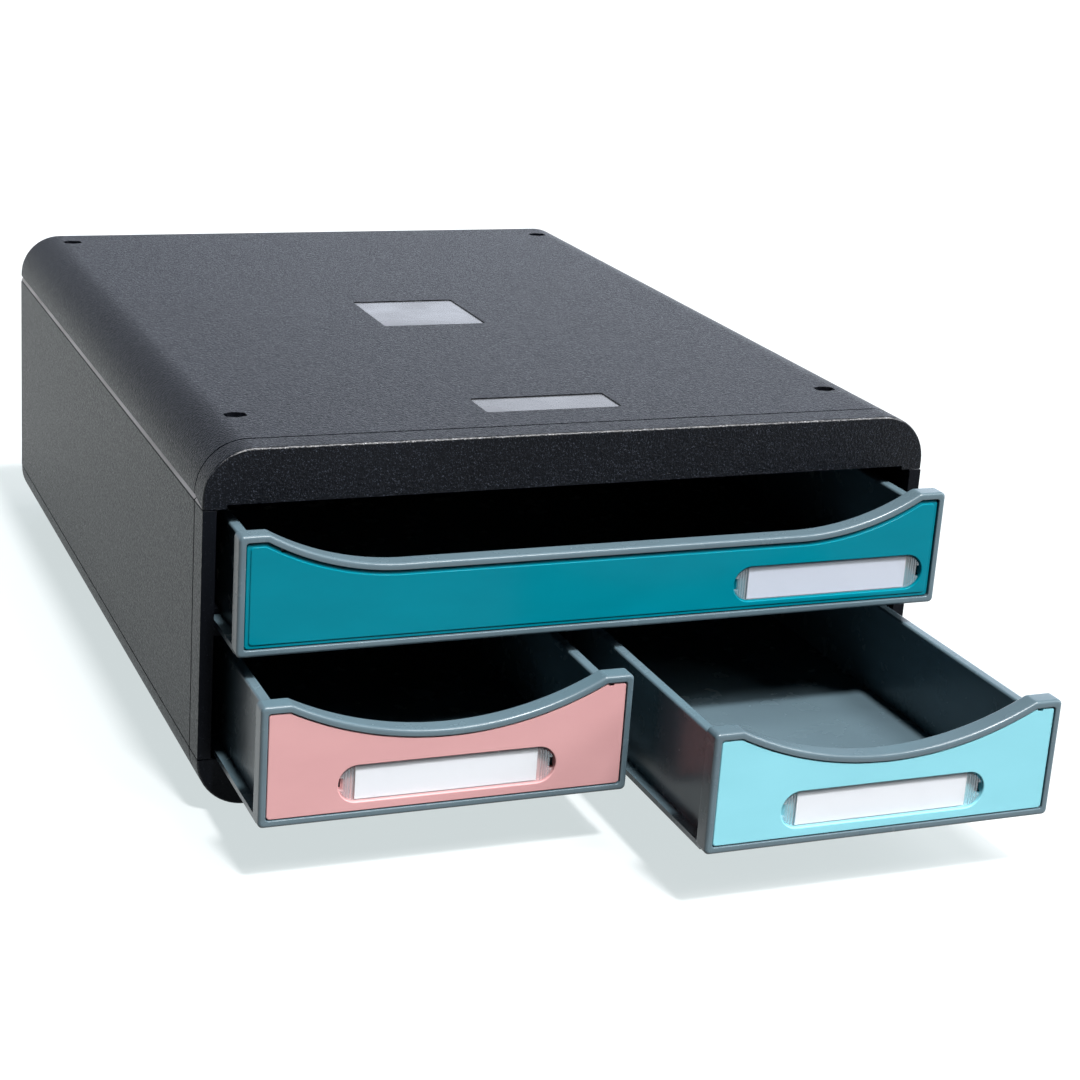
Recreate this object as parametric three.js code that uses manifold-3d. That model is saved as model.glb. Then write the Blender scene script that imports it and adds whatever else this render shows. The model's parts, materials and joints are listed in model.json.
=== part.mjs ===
// A desktop drawer box: one wide drawer above two half-width drawers, in a housing
// of a top cover, two side panels, a base tray and a back panel.
// Lengths are millimetres. X runs to the right, Y to the back and Z up from the table.
// Every piece is laid out from the middle of the housing's front plane.

import * as THREE from 'three';
import { mergeVertices } from 'three/addons/utils/BufferGeometryUtils.js';
import { ConvexGeometry } from 'three/addons/geometries/ConvexGeometry.js';
import Module from 'manifold-3d';

// Housing
const housingWidth = 270;
const housingDepth = 343;
const footHeight = 2.6;
const baseHeight = 17.8;
const panelHeight = 89.2;
const coverHeight = 20.4;
const cornerRadius = 17.4;
const frontEdgeRound = 0.9;
const shellWall = 2.6;
const seamGap = 0.4;
const fitGap = 0.3;

// Groove that runs round the housing behind its front edge, and the bevelled
// ledge along the lower edge of the cover
const grooveSetback = 10.7;
const grooveWidth = 0.8;
const grooveDepth = 0.7;
const ledgeDepth = 1.7;
const ledgeLand = 0.3;

// The cover's front wall ends higher than its sides, and leaves a lip at each corner
const fasciaLift = 1.4;
const cornerLipWidth = 8.2;

// Bayonet holes in the cover and the base, which take a foot or the next box's foot
const keyholeSideInset = 20.8;
const keyholeFrontY = 39.6;
const keyholeBackInset = 15.2;
const keyholeRadius = 3.2;
const keyholeSlotLength = 7.8;
const keyholeSlotWidth = 4.6;

// Two bare fields sunk in the top, the large one a little behind the middle
const largeFieldShift = 5.3;
const largeFieldWidth = 43.4;
const largeFieldLength = 42.4;
const smallFieldY = 37.9;
const smallFieldWidth = 52;
const smallFieldLength = 18.3;
const fieldDepth = 0.6;
const fieldCornerRadius = 1.2;

// Feet
const footRadius = 7.5;
const footRound = 0.8;
const stemRadius = 2.2;
const wingThickness = 1.6;
const wingReach = 3.7;

// Stiffening ribs in the cover, and the rails that carry the lower drawers
const ribThickness = 1.8;
const coverRibHeight = 4;
const coverRibCount = 4;
const railInset = 24;
const crossRibHeight = 5;
const crossRibCount = 3;

// Side panels
const panelThickness = 4.7;
const panelSkin = 2.4;
const panelFrontBand = 6;
const tongueHeight = 3.4;
const tongueThickness = 1.4;
const guideStart = 9.2;
const guideThickness = 1.8;
const shelfLedgeThickness = 1.8;
const shelfLedgeReach = 5;

// Inner partitions and back
const shelfThickness = 2.6;
const shelfSetback = 2;
const dividerThickness = 2.4;
const dividerSetback = 3;
const dividerSlotHeight = 5;
const backThickness = 3;
const backRecess = 1.2;

// Drawer fronts
const lowerFrontLift = 1.4;
const rowGap = 4;
const upperFrontGap = 0.6;
const sideFrontGap = 0.7;
const centreFrontGap = 4.4;
const frontThickness = 7.2;
const frontRound = 1.1;
const frontCornerRadius = 1.8;
const frontBorder = 2.4;
const frontSkin = 2.9;
const shoulderWidth = 10.2;
const shoulderRound = 2.5;
const narrowScoopDepth = 13;
const wideScoopDepth = 12.6;
const wideScoopRun = 47;

// Drawer trays
const floorThickness = 2;
const flangeThickness = 1.9;
const flangeInset = 0.6;
const wallInset = 4.4;
const wallThickness = 1.8;
const rimDrop = 5.1;
const rimWidth = 4;
const rimHeight = 2.2;
const rimRound = 0.9;
const trayEndGap = 4;
const runClearance = 0.4;

// Stops that keep a drawer from being pulled right out
const travel = 240;
const lugHeight = 4.6;
const lugLength = 4;
const lugEndGap = 4;
const bossLength = 5;
const stopSideGap = 0.7;

// Coloured front inserts, clear label lenses and paper cards
const insertRecess = 0.4;
const insertThickness = 1.6;
const wideFaceMargin = 1.3;
const wideFaceStep = 0.35;
const panWall = 0.6;
const panFloor = 0.6;
const labelWidth = 75;
const labelHeight = 12.8;
const labelLiftShare = 0.298;
const wideLabelEndMargin = 6.2;
const lensRecess = 1.2;
const lensThickness = 1.4;
const lensFace = 0.6;
const lensRibCount = 4;
const lensRibPitch = 0.95;
const lensRibWidth = 0.4;
const lensRibDepth = 0.25;
const lensNotchWidth = 1.6;
const lensNotchHeight = 4.4;
const cardEndMargin = 6.1;
const cardSideMargin = 0.5;
const cardThickness = 0.4;
const cardGap = 0.2;
const pryNotchWidth = 1.9;
const pryNotchDepth = 0.8;
const wideNotchInset = 15;
const narrowNotchInset = 8.1;

// How far each drawer stands open at rest
const wideOpening = 26.4;
const leftOpening = 57.5;
const rightOpening = 108.6;

// Smoothness of curves, and how far a cut runs past what it cuts
const cornerSteps = 4;
const roundSteps = 2;
const scoopSteps = 5;
const turnSteps = 24;
const cutOverrun = 1;
const weldTolerance = 1e-4;

// Heights and widths that follow from the sizes above
const baseTop = footHeight + baseHeight;
const panelTop = baseTop + panelHeight;
const housingHalf = housingWidth / 2;
const keyholeX = housingHalf - keyholeSideInset;
const keyholeBackY = housingDepth - keyholeBackInset;
const largeFieldY = housingDepth / 2 + largeFieldShift;
const frontHeight = (panelHeight - lowerFrontLift - rowGap - upperFrontGap) / 2;
const lowerFrontBottom = baseTop + lowerFrontLift;
const upperFrontBottom = lowerFrontBottom + frontHeight + rowGap;
const frontReach = housingHalf - panelThickness - sideFrontGap;
const narrowHalf = (frontReach - centreFrontGap / 2) / 2;
const narrowCentre = frontReach - narrowHalf;
const shelfTop = upperFrontBottom - fitGap;
const shelfBottom = shelfTop - shelfThickness;
const panelInner = housingHalf - panelSkin;
const backPanelFront = housingDepth - backRecess - backThickness;
const trayBack = backPanelFront - trayEndGap;
const guideLift = flangeThickness + runClearance;
const rimTop = frontHeight - rimDrop;
const lugBack = trayBack - lugEndGap;
const lugFront = lugBack - lugLength;
const bossBack = lugFront - travel - fitGap;
const insertBack = insertRecess + insertThickness;
const pocketDepth = insertBack + fitGap;
const skinBack = pocketDepth + frontSkin;
const lensFront = insertRecess + lensRecess;
const lensBack = lensFront + lensThickness;
const panInside = lensBack + fitGap;
const panBack = panInside + panFloor;
const labelPocketDepth = panBack + fitGap;
const trayFront = (labelPocketDepth + skinBack) / 2;
const insertInset = frontBorder + fitGap;
const insertClearHeight = frontHeight - narrowScoopDepth - 2 * insertInset - labelHeight;
const labelBottom = insertInset + labelLiftShare * insertClearHeight;
const labelMiddle = labelBottom + labelHeight / 2;
const cardWidth = labelWidth - 2 * cardEndMargin;
const cardHeight = labelHeight - 2 * cardSideMargin;
const cardFront = lensFront + lensFace + cardGap;

const wasm = await Module();
wasm.setup();

function plastic(color, roughness) {
  return new THREE.MeshStandardMaterial({ color, roughness, metalness: 0, flatShading: true });
}

const housingBlack = plastic(0x2b2c31, 0.6);
const footRubber = plastic(0x17181a, 0.9);
const trayGrey = plastic(0x6f8792, 0.45);
const cardWhite = plastic(0xeceef4, 0.8);
const insertTeal = plastic(0x04808f, 0.3);
const insertPink = plastic(0xd69c9f, 0.35);
const insertAqua = plastic(0x8edbe6, 0.3);
const lensClear = new THREE.MeshStandardMaterial({
  color: 0xdfeaf0,
  roughness: 0.1,
  metalness: 0,
  transparent: true,
  opacity: 0.35,
});

// Turns a closed three.js geometry into a solid that can be joined and cut.
function solid(geometry) {
  const bare = geometry.clone();
  bare.deleteAttribute('normal');
  bare.deleteAttribute('uv');
  const welded = mergeVertices(bare, weldTolerance);
  return new wasm.Manifold(new wasm.Mesh({
    numProp: 3,
    vertProperties: new Float32Array(welded.attributes.position.array),
    triVerts: new Uint32Array(welded.index.array),
  }));
}

function piece(name, body, material) {
  const { vertProperties, triVerts } = body.getMesh();
  const geometry = new THREE.BufferGeometry();
  geometry.setAttribute('position', new THREE.BufferAttribute(vertProperties, 3));
  geometry.setIndex(new THREE.BufferAttribute(triVerts, 1));
  geometry.computeVertexNormals();
  const mesh = new THREE.Mesh(geometry, material);
  mesh.name = name;
  return mesh;
}

// A box between two opposite corners, given in either order.
function block([x0, x1], [y0, y1], [z0, z1]) {
  const geometry = new THREE.BoxGeometry(Math.abs(x1 - x0), Math.abs(y1 - y0), Math.abs(z1 - z0));
  geometry.translate((x0 + x1) / 2, (y0 + y1) / 2, (z0 + z1) / 2);
  return solid(geometry);
}

// A profile drawn in X and Z, carried from front to back, with its end edges rounded.
function alongY(shape, front, back, round = 0, arcSteps = cornerSteps) {
  const geometry = new THREE.ExtrudeGeometry(shape, {
    depth: back - front - 2 * round,
    bevelEnabled: round > 0,
    bevelThickness: round,
    bevelSize: round,
    bevelOffset: -round,
    bevelSegments: roundSteps,
    curveSegments: arcSteps,
  });
  geometry.rotateX(Math.PI / 2);
  geometry.translate(0, back - round, 0);
  return solid(geometry);
}

// A plan drawn in X and Y, carried upwards.
function alongZ(shape, low, high, arcSteps = cornerSteps) {
  const geometry = new THREE.ExtrudeGeometry(shape, {
    depth: high - low,
    bevelEnabled: false,
    curveSegments: arcSteps,
  });
  geometry.translate(0, 0, low);
  return solid(geometry);
}

// A rectangle about a centre, with its four corners rounded.
function roundedRectangle(centreX, centreY, width, height, radius) {
  const right = centreX + width / 2 - radius;
  const left = centreX - width / 2 + radius;
  const high = centreY + height / 2 - radius;
  const low = centreY - height / 2 + radius;
  const shape = new THREE.Shape();
  shape.absarc(right, high, radius, 0, Math.PI / 2, false);
  shape.absarc(left, high, radius, Math.PI / 2, Math.PI, false);
  shape.absarc(left, low, radius, Math.PI, 1.5 * Math.PI, false);
  shape.absarc(right, low, radius, 1.5 * Math.PI, 2 * Math.PI, false);
  shape.closePath();
  return shape;
}

// The cross-section of a cover or a base laid open side down: square below, round above.
function shellSection(height, inset) {
  const half = housingHalf - inset;
  const high = height - inset;
  const radius = cornerRadius - inset;
  const shape = new THREE.Shape();
  shape.moveTo(-half, -cornerRadius);
  shape.lineTo(half, -cornerRadius);
  shape.absarc(half - radius, high - radius, radius, 0, Math.PI / 2, false);
  shape.absarc(-half + radius, high - radius, radius, Math.PI / 2, Math.PI, false);
  shape.closePath();
  return shape;
}

// A round hole with a slot across it, at one of the four corners.
function keyhole(x, y, low, high) {
  const round = new THREE.Shape();
  round.absarc(x, y, keyholeRadius, 0, 2 * Math.PI, false);
  const slot = roundedRectangle(x, y, keyholeSlotLength, keyholeSlotWidth, keyholeSlotWidth / 4);
  return alongZ(round, low, high).add(alongZ(slot, low, high, roundSteps));
}

const keyholePlaces = [
  ['front_left', -keyholeX, keyholeFrontY],
  ['front_right', keyholeX, keyholeFrontY],
  ['back_left', -keyholeX, keyholeBackY],
  ['back_right', keyholeX, keyholeBackY],
];

// The moulding that the cover and the base share: a shallow tray lying open side down,
// with its open edge at height zero, a groove behind its front edge and four keyholes.
function shellMoulding(height) {
  const wide = housingWidth;
  const skinLow = height - shellWall;
  let body = alongY(shellSection(height, 0), 0, housingDepth, frontEdgeRound);
  body = body.subtract(block([-wide, wide], [-wide, 2 * housingDepth], [-2 * cornerRadius, 0]));
  body = body.subtract(
    alongY(shellSection(height, shellWall), shellWall, housingDepth - shellWall));
  const grooveBand = alongY(shellSection(height, -cutOverrun), grooveSetback, grooveSetback + grooveWidth);
  const grooveCore = alongY(shellSection(height, grooveDepth), grooveSetback - cutOverrun,
    grooveSetback + grooveWidth + cutOverrun);
  body = body.subtract(grooveBand.subtract(grooveCore));
  for (const [, x, y] of keyholePlaces) {
    body = body.subtract(keyhole(x, y, skinLow - cutOverrun, height + cutOverrun));
  }
  return body;
}

// The bevelled ledge: a notch whose sloping floor faces up and out along the cover's side,
// which runs out to nothing between the groove and the front edge.
function ledgeNotch(side) {
  const edge = side * (housingHalf + cutOverrun);
  const inner = side * (housingHalf - ledgeDepth);
  const floorLow = ledgeLand - cutOverrun;
  const floorHigh = ledgeLand + ledgeDepth;
  const roof = floorHigh + ledgeLand;
  const section = new THREE.Shape();
  section.moveTo(edge, floorLow);
  section.lineTo(inner, floorHigh);
  section.lineTo(edge, roof);
  section.closePath();
  const run = alongY(section, grooveSetback, housingDepth + cutOverrun);
  const behindGroove = grooveSetback + grooveWidth / 2;
  const taper = solid(new ConvexGeometry([
    new THREE.Vector3(edge, behindGroove, floorLow),
    new THREE.Vector3(inner, behindGroove, floorHigh),
    new THREE.Vector3(edge, behindGroove, roof),
    new THREE.Vector3(side * housingHalf, frontEdgeRound, ledgeLand),
    new THREE.Vector3(edge, frontEdgeRound, ledgeLand),
  ]));
  return run.add(taper);
}

function topCover() {
  let body = shellMoulding(coverHeight);
  for (const side of [-1, 1]) {
    body = body.subtract(ledgeNotch(side));
  }
  const opening = housingHalf - cornerLipWidth;
  body = body.subtract(block([-opening, opening],
    [-cutOverrun, shellWall + cutOverrun], [-cutOverrun, fasciaLift]));
  const fields = [
    [largeFieldY, largeFieldWidth, largeFieldLength],
    [smallFieldY, smallFieldWidth, smallFieldLength],
  ];
  for (const [y, width, length] of fields) {
    const outline = roundedRectangle(0, y, width, length, fieldCornerRadius);
    body = body.subtract(
      alongZ(outline, coverHeight - fieldDepth, coverHeight + cutOverrun, roundSteps));
  }
  const skinLow = coverHeight - shellWall;
  const spacing = housingWidth / (coverRibCount + 1);
  for (let index = 1; index <= coverRibCount; index += 1) {
    const x = -housingHalf + index * spacing;
    body = body.add(block([x - ribThickness / 2, x + ribThickness / 2],
      [shellWall / 2, housingDepth - shellWall / 2], [skinLow - coverRibHeight, skinLow + shellWall / 2]));
  }
  const mesh = piece('top_cover', body, housingBlack);
  mesh.position.z = panelTop;
  return mesh;
}

// Built open side down like the cover, then turned over about the depth axis.
function baseTray() {
  let body = shellMoulding(baseHeight);
  const skinLow = baseHeight - shellWall;
  const joined = skinLow + shellWall / 2;
  const railTop = -lowerFrontLift + fitGap;
  const front = shellWall / 2;
  const back = housingDepth - shellWall / 2;
  for (const side of [-1, 1]) {
    for (const offset of [-narrowHalf + railInset, narrowHalf - railInset]) {
      const x = side * narrowCentre + offset;
      const sides = [x - ribThickness / 2, x + ribThickness / 2];
      body = body.add(block(sides, [guideStart, backPanelFront - trayEndGap], [railTop, joined]));
      body = body.add(block(sides, [front, back], [0, joined]));
    }
    const slotInner = side * (dividerThickness / 2 + fitGap);
    body = body.add(block([slotInner, slotInner + side * ribThickness], [front, back],
      [skinLow - dividerSlotHeight, joined]));
  }
  const reach = narrowCentre + narrowHalf - railInset;
  const slotEdge = dividerThickness / 2 + fitGap + ribThickness / 2;
  for (let index = 1; index <= crossRibCount; index += 1) {
    const y = index * housingDepth / (crossRibCount + 1);
    for (const side of [-1, 1]) {
      body = body.add(block([side * slotEdge, side * reach], [y - ribThickness / 2, y + ribThickness / 2],
        [skinLow - crossRibHeight, joined]));
    }
  }
  const mesh = piece('base_tray', body, housingBlack);
  mesh.rotation.y = Math.PI;
  mesh.position.z = baseTop;
  return mesh;
}

// A guide rib hooks over a drawer's bottom flange, and the boss above it is the stop
// that the lug on the drawer's wall meets when the drawer is fully open.
function guideAndStop(root, tip, frontBottom) {
  const low = frontBottom + guideLift;
  const high = low + guideThickness;
  const rib = block([root, tip], [guideStart, trayBack], [low, high]);
  const boss = block([root, tip], [bossBack - bossLength, bossBack],
    [high - guideThickness / 2, high + runClearance + lugHeight]);
  return rib.add(boss);
}

function sidePanel(name, side) {
  const outer = side * housingHalf;
  const inner = side * panelInner;
  const root = side * (panelInner + panelSkin / 2);
  const face = side * (housingHalf - panelThickness);
  const low = baseTop + seamGap;
  const high = panelTop - seamGap;
  const tip = side * (frontReach - wallInset + stopSideGap);
  let body = block([outer, inner], [0, housingDepth], [low, high]);
  body = body.add(block([root, face], [0, panelFrontBand], [low, high]));
  for (const frontBottom of [lowerFrontBottom, upperFrontBottom]) {
    body = body.add(guideAndStop(root, tip, frontBottom));
  }
  const ledgeTop = shelfBottom - fitGap;
  const ledgeTip = side * (panelInner - shelfLedgeReach);
  body = body.add(block([root, ledgeTip], [guideStart, backPanelFront - fitGap],
    [ledgeTop - shelfLedgeThickness, ledgeTop]));
  const tongueOuter = side * (housingHalf - shellWall - fitGap - ledgeDepth / 2);
  const tongueInner = tongueOuter - side * tongueThickness;
  const tongueRun = [shellWall + cutOverrun, backPanelFront - fitGap];
  for (const [from, to] of [[low, low - seamGap - tongueHeight], [high, high + seamGap + tongueHeight]]) {
    const heel = from + Math.sign(from - to) * tongueThickness;
    body = body.add(block([tongueOuter, tongueInner], tongueRun, [heel, to]));
    body = body.add(block([root, tongueInner], tongueRun, [from, heel]));
  }
  const grooveSpan = [grooveSetback, grooveSetback + grooveWidth];
  const grooveBottom = outer - side * grooveDepth;
  body = body.subtract(block([outer + side * cutOverrun, grooveBottom], grooveSpan,
    [low - cutOverrun, high + cutOverrun]));
  return piece(name, body, housingBlack);
}

function backPanel() {
  const half = panelInner - fitGap;
  const body = block([-half, half], [backPanelFront, housingDepth - backRecess],
    [baseTop + seamGap, panelTop - seamGap]);
  return piece('back_panel', body, housingBlack);
}

function middleShelf() {
  const half = panelInner - fitGap;
  const notched = housingHalf - panelThickness - fitGap;
  const back = backPanelFront - fitGap;
  const plate = block([-half, half], [guideStart, back], [shelfBottom, shelfTop]);
  const nose = block([-notched, notched], [shelfSetback, guideStart + cutOverrun], [shelfBottom, shelfTop]);
  return piece('middle_shelf', plate.add(nose), housingBlack);
}

function centreDivider() {
  const half = dividerThickness / 2;
  const low = footHeight + shellWall + fitGap;
  const high = shelfBottom - fitGap;
  const floorGap = shellWall + fitGap;
  let body = block([-half, half], [floorGap, backPanelFront - fitGap], [low, high]);
  body = body.subtract(block([-half - cutOverrun, half + cutOverrun],
    [-cutOverrun, dividerSetback], [low - cutOverrun, high + cutOverrun]));
  for (const side of [-1, 1]) {
    const tip = side * (centreFrontGap / 2 + wallInset - stopSideGap);
    body = body.add(guideAndStop(0, tip, lowerFrontBottom));
  }
  return piece('centre_divider', body, housingBlack);
}

// A pad with a stem that goes up through a keyhole, and two wings that lie across
// the slot above the skin once the foot is turned a quarter turn.
function foot(name, x, y) {
  const padTop = footHeight - fitGap;
  const stemTop = footHeight + shellWall + fitGap + wingThickness;
  const profile = [
    new THREE.Vector2(0, 0),
    new THREE.Vector2(footRadius - footRound, 0),
    new THREE.Vector2(footRadius, footRound),
    new THREE.Vector2(footRadius, padTop),
    new THREE.Vector2(stemRadius, padTop),
    new THREE.Vector2(stemRadius, stemTop),
    new THREE.Vector2(0, stemTop),
  ];
  const turned = new THREE.LatheGeometry(profile, turnSteps);
  turned.rotateX(Math.PI / 2);
  const wings = block([-wingThickness / 2, wingThickness / 2], [-wingReach, wingReach],
    [stemTop - wingThickness, stemTop]);
  const mesh = piece(name, solid(turned).add(wings), footRubber);
  mesh.position.set(x, y, 0);
  return mesh;
}

// The arc that a scoop's slope follows, moved outwards by an inset.
function scoopArc(front, inset) {
  const run = front.half - shoulderWidth - front.flatHalf;
  const scoopRadius = (run * run + front.scoopDepth * front.scoopDepth) / (2 * front.scoopDepth);
  const centreZ = frontHeight - front.scoopDepth + scoopRadius;
  return { centreZ, radius: scoopRadius + inset };
}

// The outline of a drawer front, drawn from its bottom middle and drawn in by an inset:
// square below, with a flat shoulder at each top corner and a scoop sunk between them.
// Each shoulder's edge is rounded where it meets the scoop.
function frontOutline(front, inset) {
  const half = front.half - inset;
  const low = inset;
  const high = frontHeight - inset;
  const { centreZ, radius } = scoopArc(front, inset);
  const corner = Math.max(frontCornerRadius - inset, frontRound);
  const shoulder = Math.max(shoulderRound - inset, frontRound);
  const shoulderZ = high - shoulder;
  const shoulderReach = Math.sqrt((radius + shoulder) ** 2 - (centreZ - shoulderZ) ** 2);
  const shoulderX = front.flatHalf + shoulderReach;
  const slope = Math.asin(shoulderReach / (radius + shoulder));
  const up = Math.PI / 2;
  const shape = new THREE.Shape();
  shape.absarc(-half + corner, low + corner, corner, Math.PI, 1.5 * Math.PI, false);
  shape.absarc(half - corner, low + corner, corner, 1.5 * Math.PI, 2 * Math.PI, false);
  shape.absarc(half - corner, high - corner, corner, 0, Math.PI / 2, false);
  shape.absarc(shoulderX, shoulderZ, shoulder, up, up + slope, false);
  shape.absarc(front.flatHalf, centreZ, radius, slope - up, -up, true);
  shape.absarc(-front.flatHalf, centreZ, radius, -up, -slope - up, true);
  shape.absarc(-shoulderX, shoulderZ, shoulder, up - slope, up, false);
  shape.absarc(-half + corner, high - corner, corner, Math.PI / 2, Math.PI, false);
  shape.closePath();
  return shape;
}

// The upright cross-section of a tray: floor, runner flanges, walls and rolled rims.
function traySection(half) {
  const flange = half - flangeInset;
  const wall = half - wallInset;
  const wallFace = wall - wallThickness;
  const rimFace = wall - rimWidth;
  const rimLow = rimTop - rimHeight;
  const arcHigh = rimTop - rimRound;
  const shape = new THREE.Shape();
  shape.moveTo(-flange, 0);
  shape.lineTo(flange, 0);
  shape.lineTo(flange, flangeThickness);
  shape.lineTo(wall, flangeThickness);
  shape.absarc(wall - rimRound, arcHigh, rimRound, 0, Math.PI / 2, false);
  shape.absarc(rimFace + rimRound, arcHigh, rimRound, Math.PI / 2, Math.PI, false);
  shape.lineTo(rimFace, rimLow);
  shape.lineTo(wallFace, rimLow);
  shape.lineTo(wallFace, floorThickness);
  shape.lineTo(-wallFace, floorThickness);
  shape.lineTo(-wallFace, rimLow);
  shape.lineTo(-rimFace, rimLow);
  shape.absarc(-rimFace - rimRound, arcHigh, rimRound, 0, Math.PI / 2, false);
  shape.absarc(-wall + rimRound, arcHigh, rimRound, Math.PI / 2, Math.PI, false);
  shape.lineTo(-wall, flangeThickness);
  shape.lineTo(-flange, flangeThickness);
  shape.closePath();
  return shape;
}

function labelOutline(front, shrink) {
  const width = labelWidth - 2 * shrink;
  const height = labelHeight - 2 * shrink;
  return roundedRectangle(front.labelX, labelMiddle, width, height, height / 2);
}

// Tray and front frame are one moulding: the front is a plate hollowed from both sides,
// with a pocket for the coloured insert before it and a deep lip behind it.
function tray(front) {
  const wall = front.half - wallInset;
  let frame = alongY(frontOutline(front, 0), 0, frontThickness, frontRound, scoopSteps);
  frame = frame.subtract(
    alongY(frontOutline(front, frontBorder), -cutOverrun, pocketDepth, 0, scoopSteps));
  frame = frame.subtract(
    alongY(frontOutline(front, frontBorder), skinBack, frontThickness + cutOverrun, 0, scoopSteps));
  frame = frame.subtract(alongY(labelOutline(front, -panWall - fitGap), 0, labelPocketDepth));
  let body = alongY(traySection(front.half), trayFront, trayBack, 0, roundSteps);
  const inside = wall - wallThickness / 2;
  body = body.add(block([-inside, inside], [trayBack - wallThickness, trayBack], [0, rimTop - rimRound]));
  body = body.add(block([-inside, inside], [trayBack - rimWidth, trayBack],
    [rimTop - rimHeight, rimTop]));
  const lugLow = guideLift + guideThickness + runClearance;
  for (const side of [-1, 1]) {
    const tip = side * (front.half - flangeInset);
    body = body.add(block([side * inside, tip], [lugFront, lugBack], [lugLow, lugLow + lugHeight]));
  }
  return frame.add(body);
}

// A small notch in the insert's upper edge, in which a tip can be set to prise it out.
function pryNotch(front) {
  const { centreZ, radius } = scoopArc(front, insertInset);
  const reach = front.half - front.notchInset;
  const slopeZ = centreZ - Math.sqrt(radius ** 2 - (reach - front.flatHalf) ** 2);
  const edge = Math.min(frontHeight - insertInset, slopeZ);
  const x = front.notchSide * reach;
  return block([x - pryNotchWidth / 2, x + pryNotchWidth / 2],
    [0, insertBack + cutOverrun], [edge - pryNotchDepth, frontHeight]);
}

// The insert's window is a blind pan that holds the card and the lens. The wide insert's
// face stands a step proud of a narrow strip along its edge.
function insert(front) {
  const stripFront = insertRecess + front.faceStep;
  const middle = insertRecess + insertThickness / 2;
  let body = alongY(frontOutline(front, insertInset), stripFront, insertBack, 0, scoopSteps);
  if (front.faceStep > 0) {
    const face = frontOutline(front, insertInset + wideFaceMargin);
    body = body.add(alongY(face, insertRecess, middle, 0, scoopSteps));
  }
  body = body.add(alongY(labelOutline(front, -panWall), middle, panBack));
  body = body.subtract(alongY(labelOutline(front, 0), 0, panInside));
  return body.subtract(pryNotch(front));
}

// A clear lens with fine upright ribs at its round ends, hollow behind where the card lies.
function lens(front) {
  const slotEnds = [labelMiddle - labelHeight, labelMiddle + labelHeight];
  let body = alongY(labelOutline(front, fitGap), lensFront, lensBack);
  const slotHalf = cardWidth / 2 + cardGap;
  body = body.subtract(block([front.labelX - slotHalf, front.labelX + slotHalf],
    [lensFront + lensFace, lensBack + cutOverrun], slotEnds));
  for (const side of [-1, 1]) {
    const end = front.labelX + side * (labelWidth / 2 - fitGap);
    body = body.subtract(block([end - side * lensNotchWidth, end + side * cutOverrun],
      [lensFront - cutOverrun, lensBack + cutOverrun],
      [labelMiddle - lensNotchHeight / 2, labelMiddle + lensNotchHeight / 2]));
    for (let index = 1; index <= lensRibCount; index += 1) {
      const x = front.labelX + side * (slotHalf + index * lensRibPitch);
      body = body.subtract(block([x - lensRibWidth / 2, x + lensRibWidth / 2],
        [lensFront - cutOverrun, lensFront + lensRibDepth], slotEnds));
    }
  }
  return body;
}

function card(front) {
  return block([front.labelX - cardWidth / 2, front.labelX + cardWidth / 2],
    [cardFront, cardFront + cardThickness],
    [labelMiddle - cardHeight / 2, labelMiddle + cardHeight / 2]);
}

function drawer(name, front, place, insertMaterial) {
  const group = new THREE.Group();
  group.add(piece(`${name}_tray`, tray(front), trayGrey));
  group.add(piece(`${name}_insert`, insert(front), insertMaterial));
  group.add(piece(`${name}_label_lens`, lens(front), lensClear));
  group.add(piece(`${name}_label_card`, card(front), cardWhite));
  group.position.set(place.x, -place.opening, place.z);
  return group;
}

const wideFront = {
  half: frontReach,
  flatHalf: frontReach - shoulderWidth - wideScoopRun,
  scoopDepth: wideScoopDepth,
  labelX: frontReach - wideLabelEndMargin - labelWidth / 2,
  notchSide: -1,
  notchInset: wideNotchInset,
  faceStep: wideFaceStep,
};
const narrowFront = {
  half: narrowHalf,
  flatHalf: 0,
  scoopDepth: narrowScoopDepth,
  labelX: 0,
  notchSide: 1,
  notchInset: narrowNotchInset,
  faceStep: 0,
};

const housing = new THREE.Group();
housing.add(topCover());
housing.add(baseTray());
housing.add(sidePanel('left_side_panel', -1));
housing.add(sidePanel('right_side_panel', 1));
housing.add(backPanel());
housing.add(middleShelf());
housing.add(centreDivider());
for (const [corner, x, y] of keyholePlaces) {
  housing.add(foot(`foot_${corner}`, x, y));
}

const drawerBox = new THREE.Group();
drawerBox.add(housing);
drawerBox.add(drawer('wide', wideFront,
  { x: 0, z: upperFrontBottom, opening: wideOpening }, insertTeal));
drawerBox.add(drawer('left', narrowFront,
  { x: -narrowCentre, z: lowerFrontBottom, opening: leftOpening }, insertPink));
drawerBox.add(drawer('right', narrowFront,
  { x: narrowCentre, z: lowerFrontBottom, opening: rightOpening }, insertAqua));

// The origin is the middle of the table area that the box takes up as it stands here,
// from the front of the drawer that is open furthest to the back of the housing.
drawerBox.position.y = -(housingDepth - Math.max(wideOpening, leftOpening, rightOpening)) / 2;

export default drawerBox;
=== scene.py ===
# %% [markdown]
# # A desktop drawer box
# A low box for the desk: one wide drawer above two half-width drawers, in a dark housing with
# round long edges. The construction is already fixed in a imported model, the frame. This lesson
# gives it the skins and finishes that the eye sees, one kind of piece at a time.
# Everything is in metres. X runs to the right, Y to the back and Z up from the table.

# %% Load the frame
import json
import math
from functools import partial
from types import SimpleNamespace

import bmesh
import bpy
from mathutils import Matrix, Vector

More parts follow.
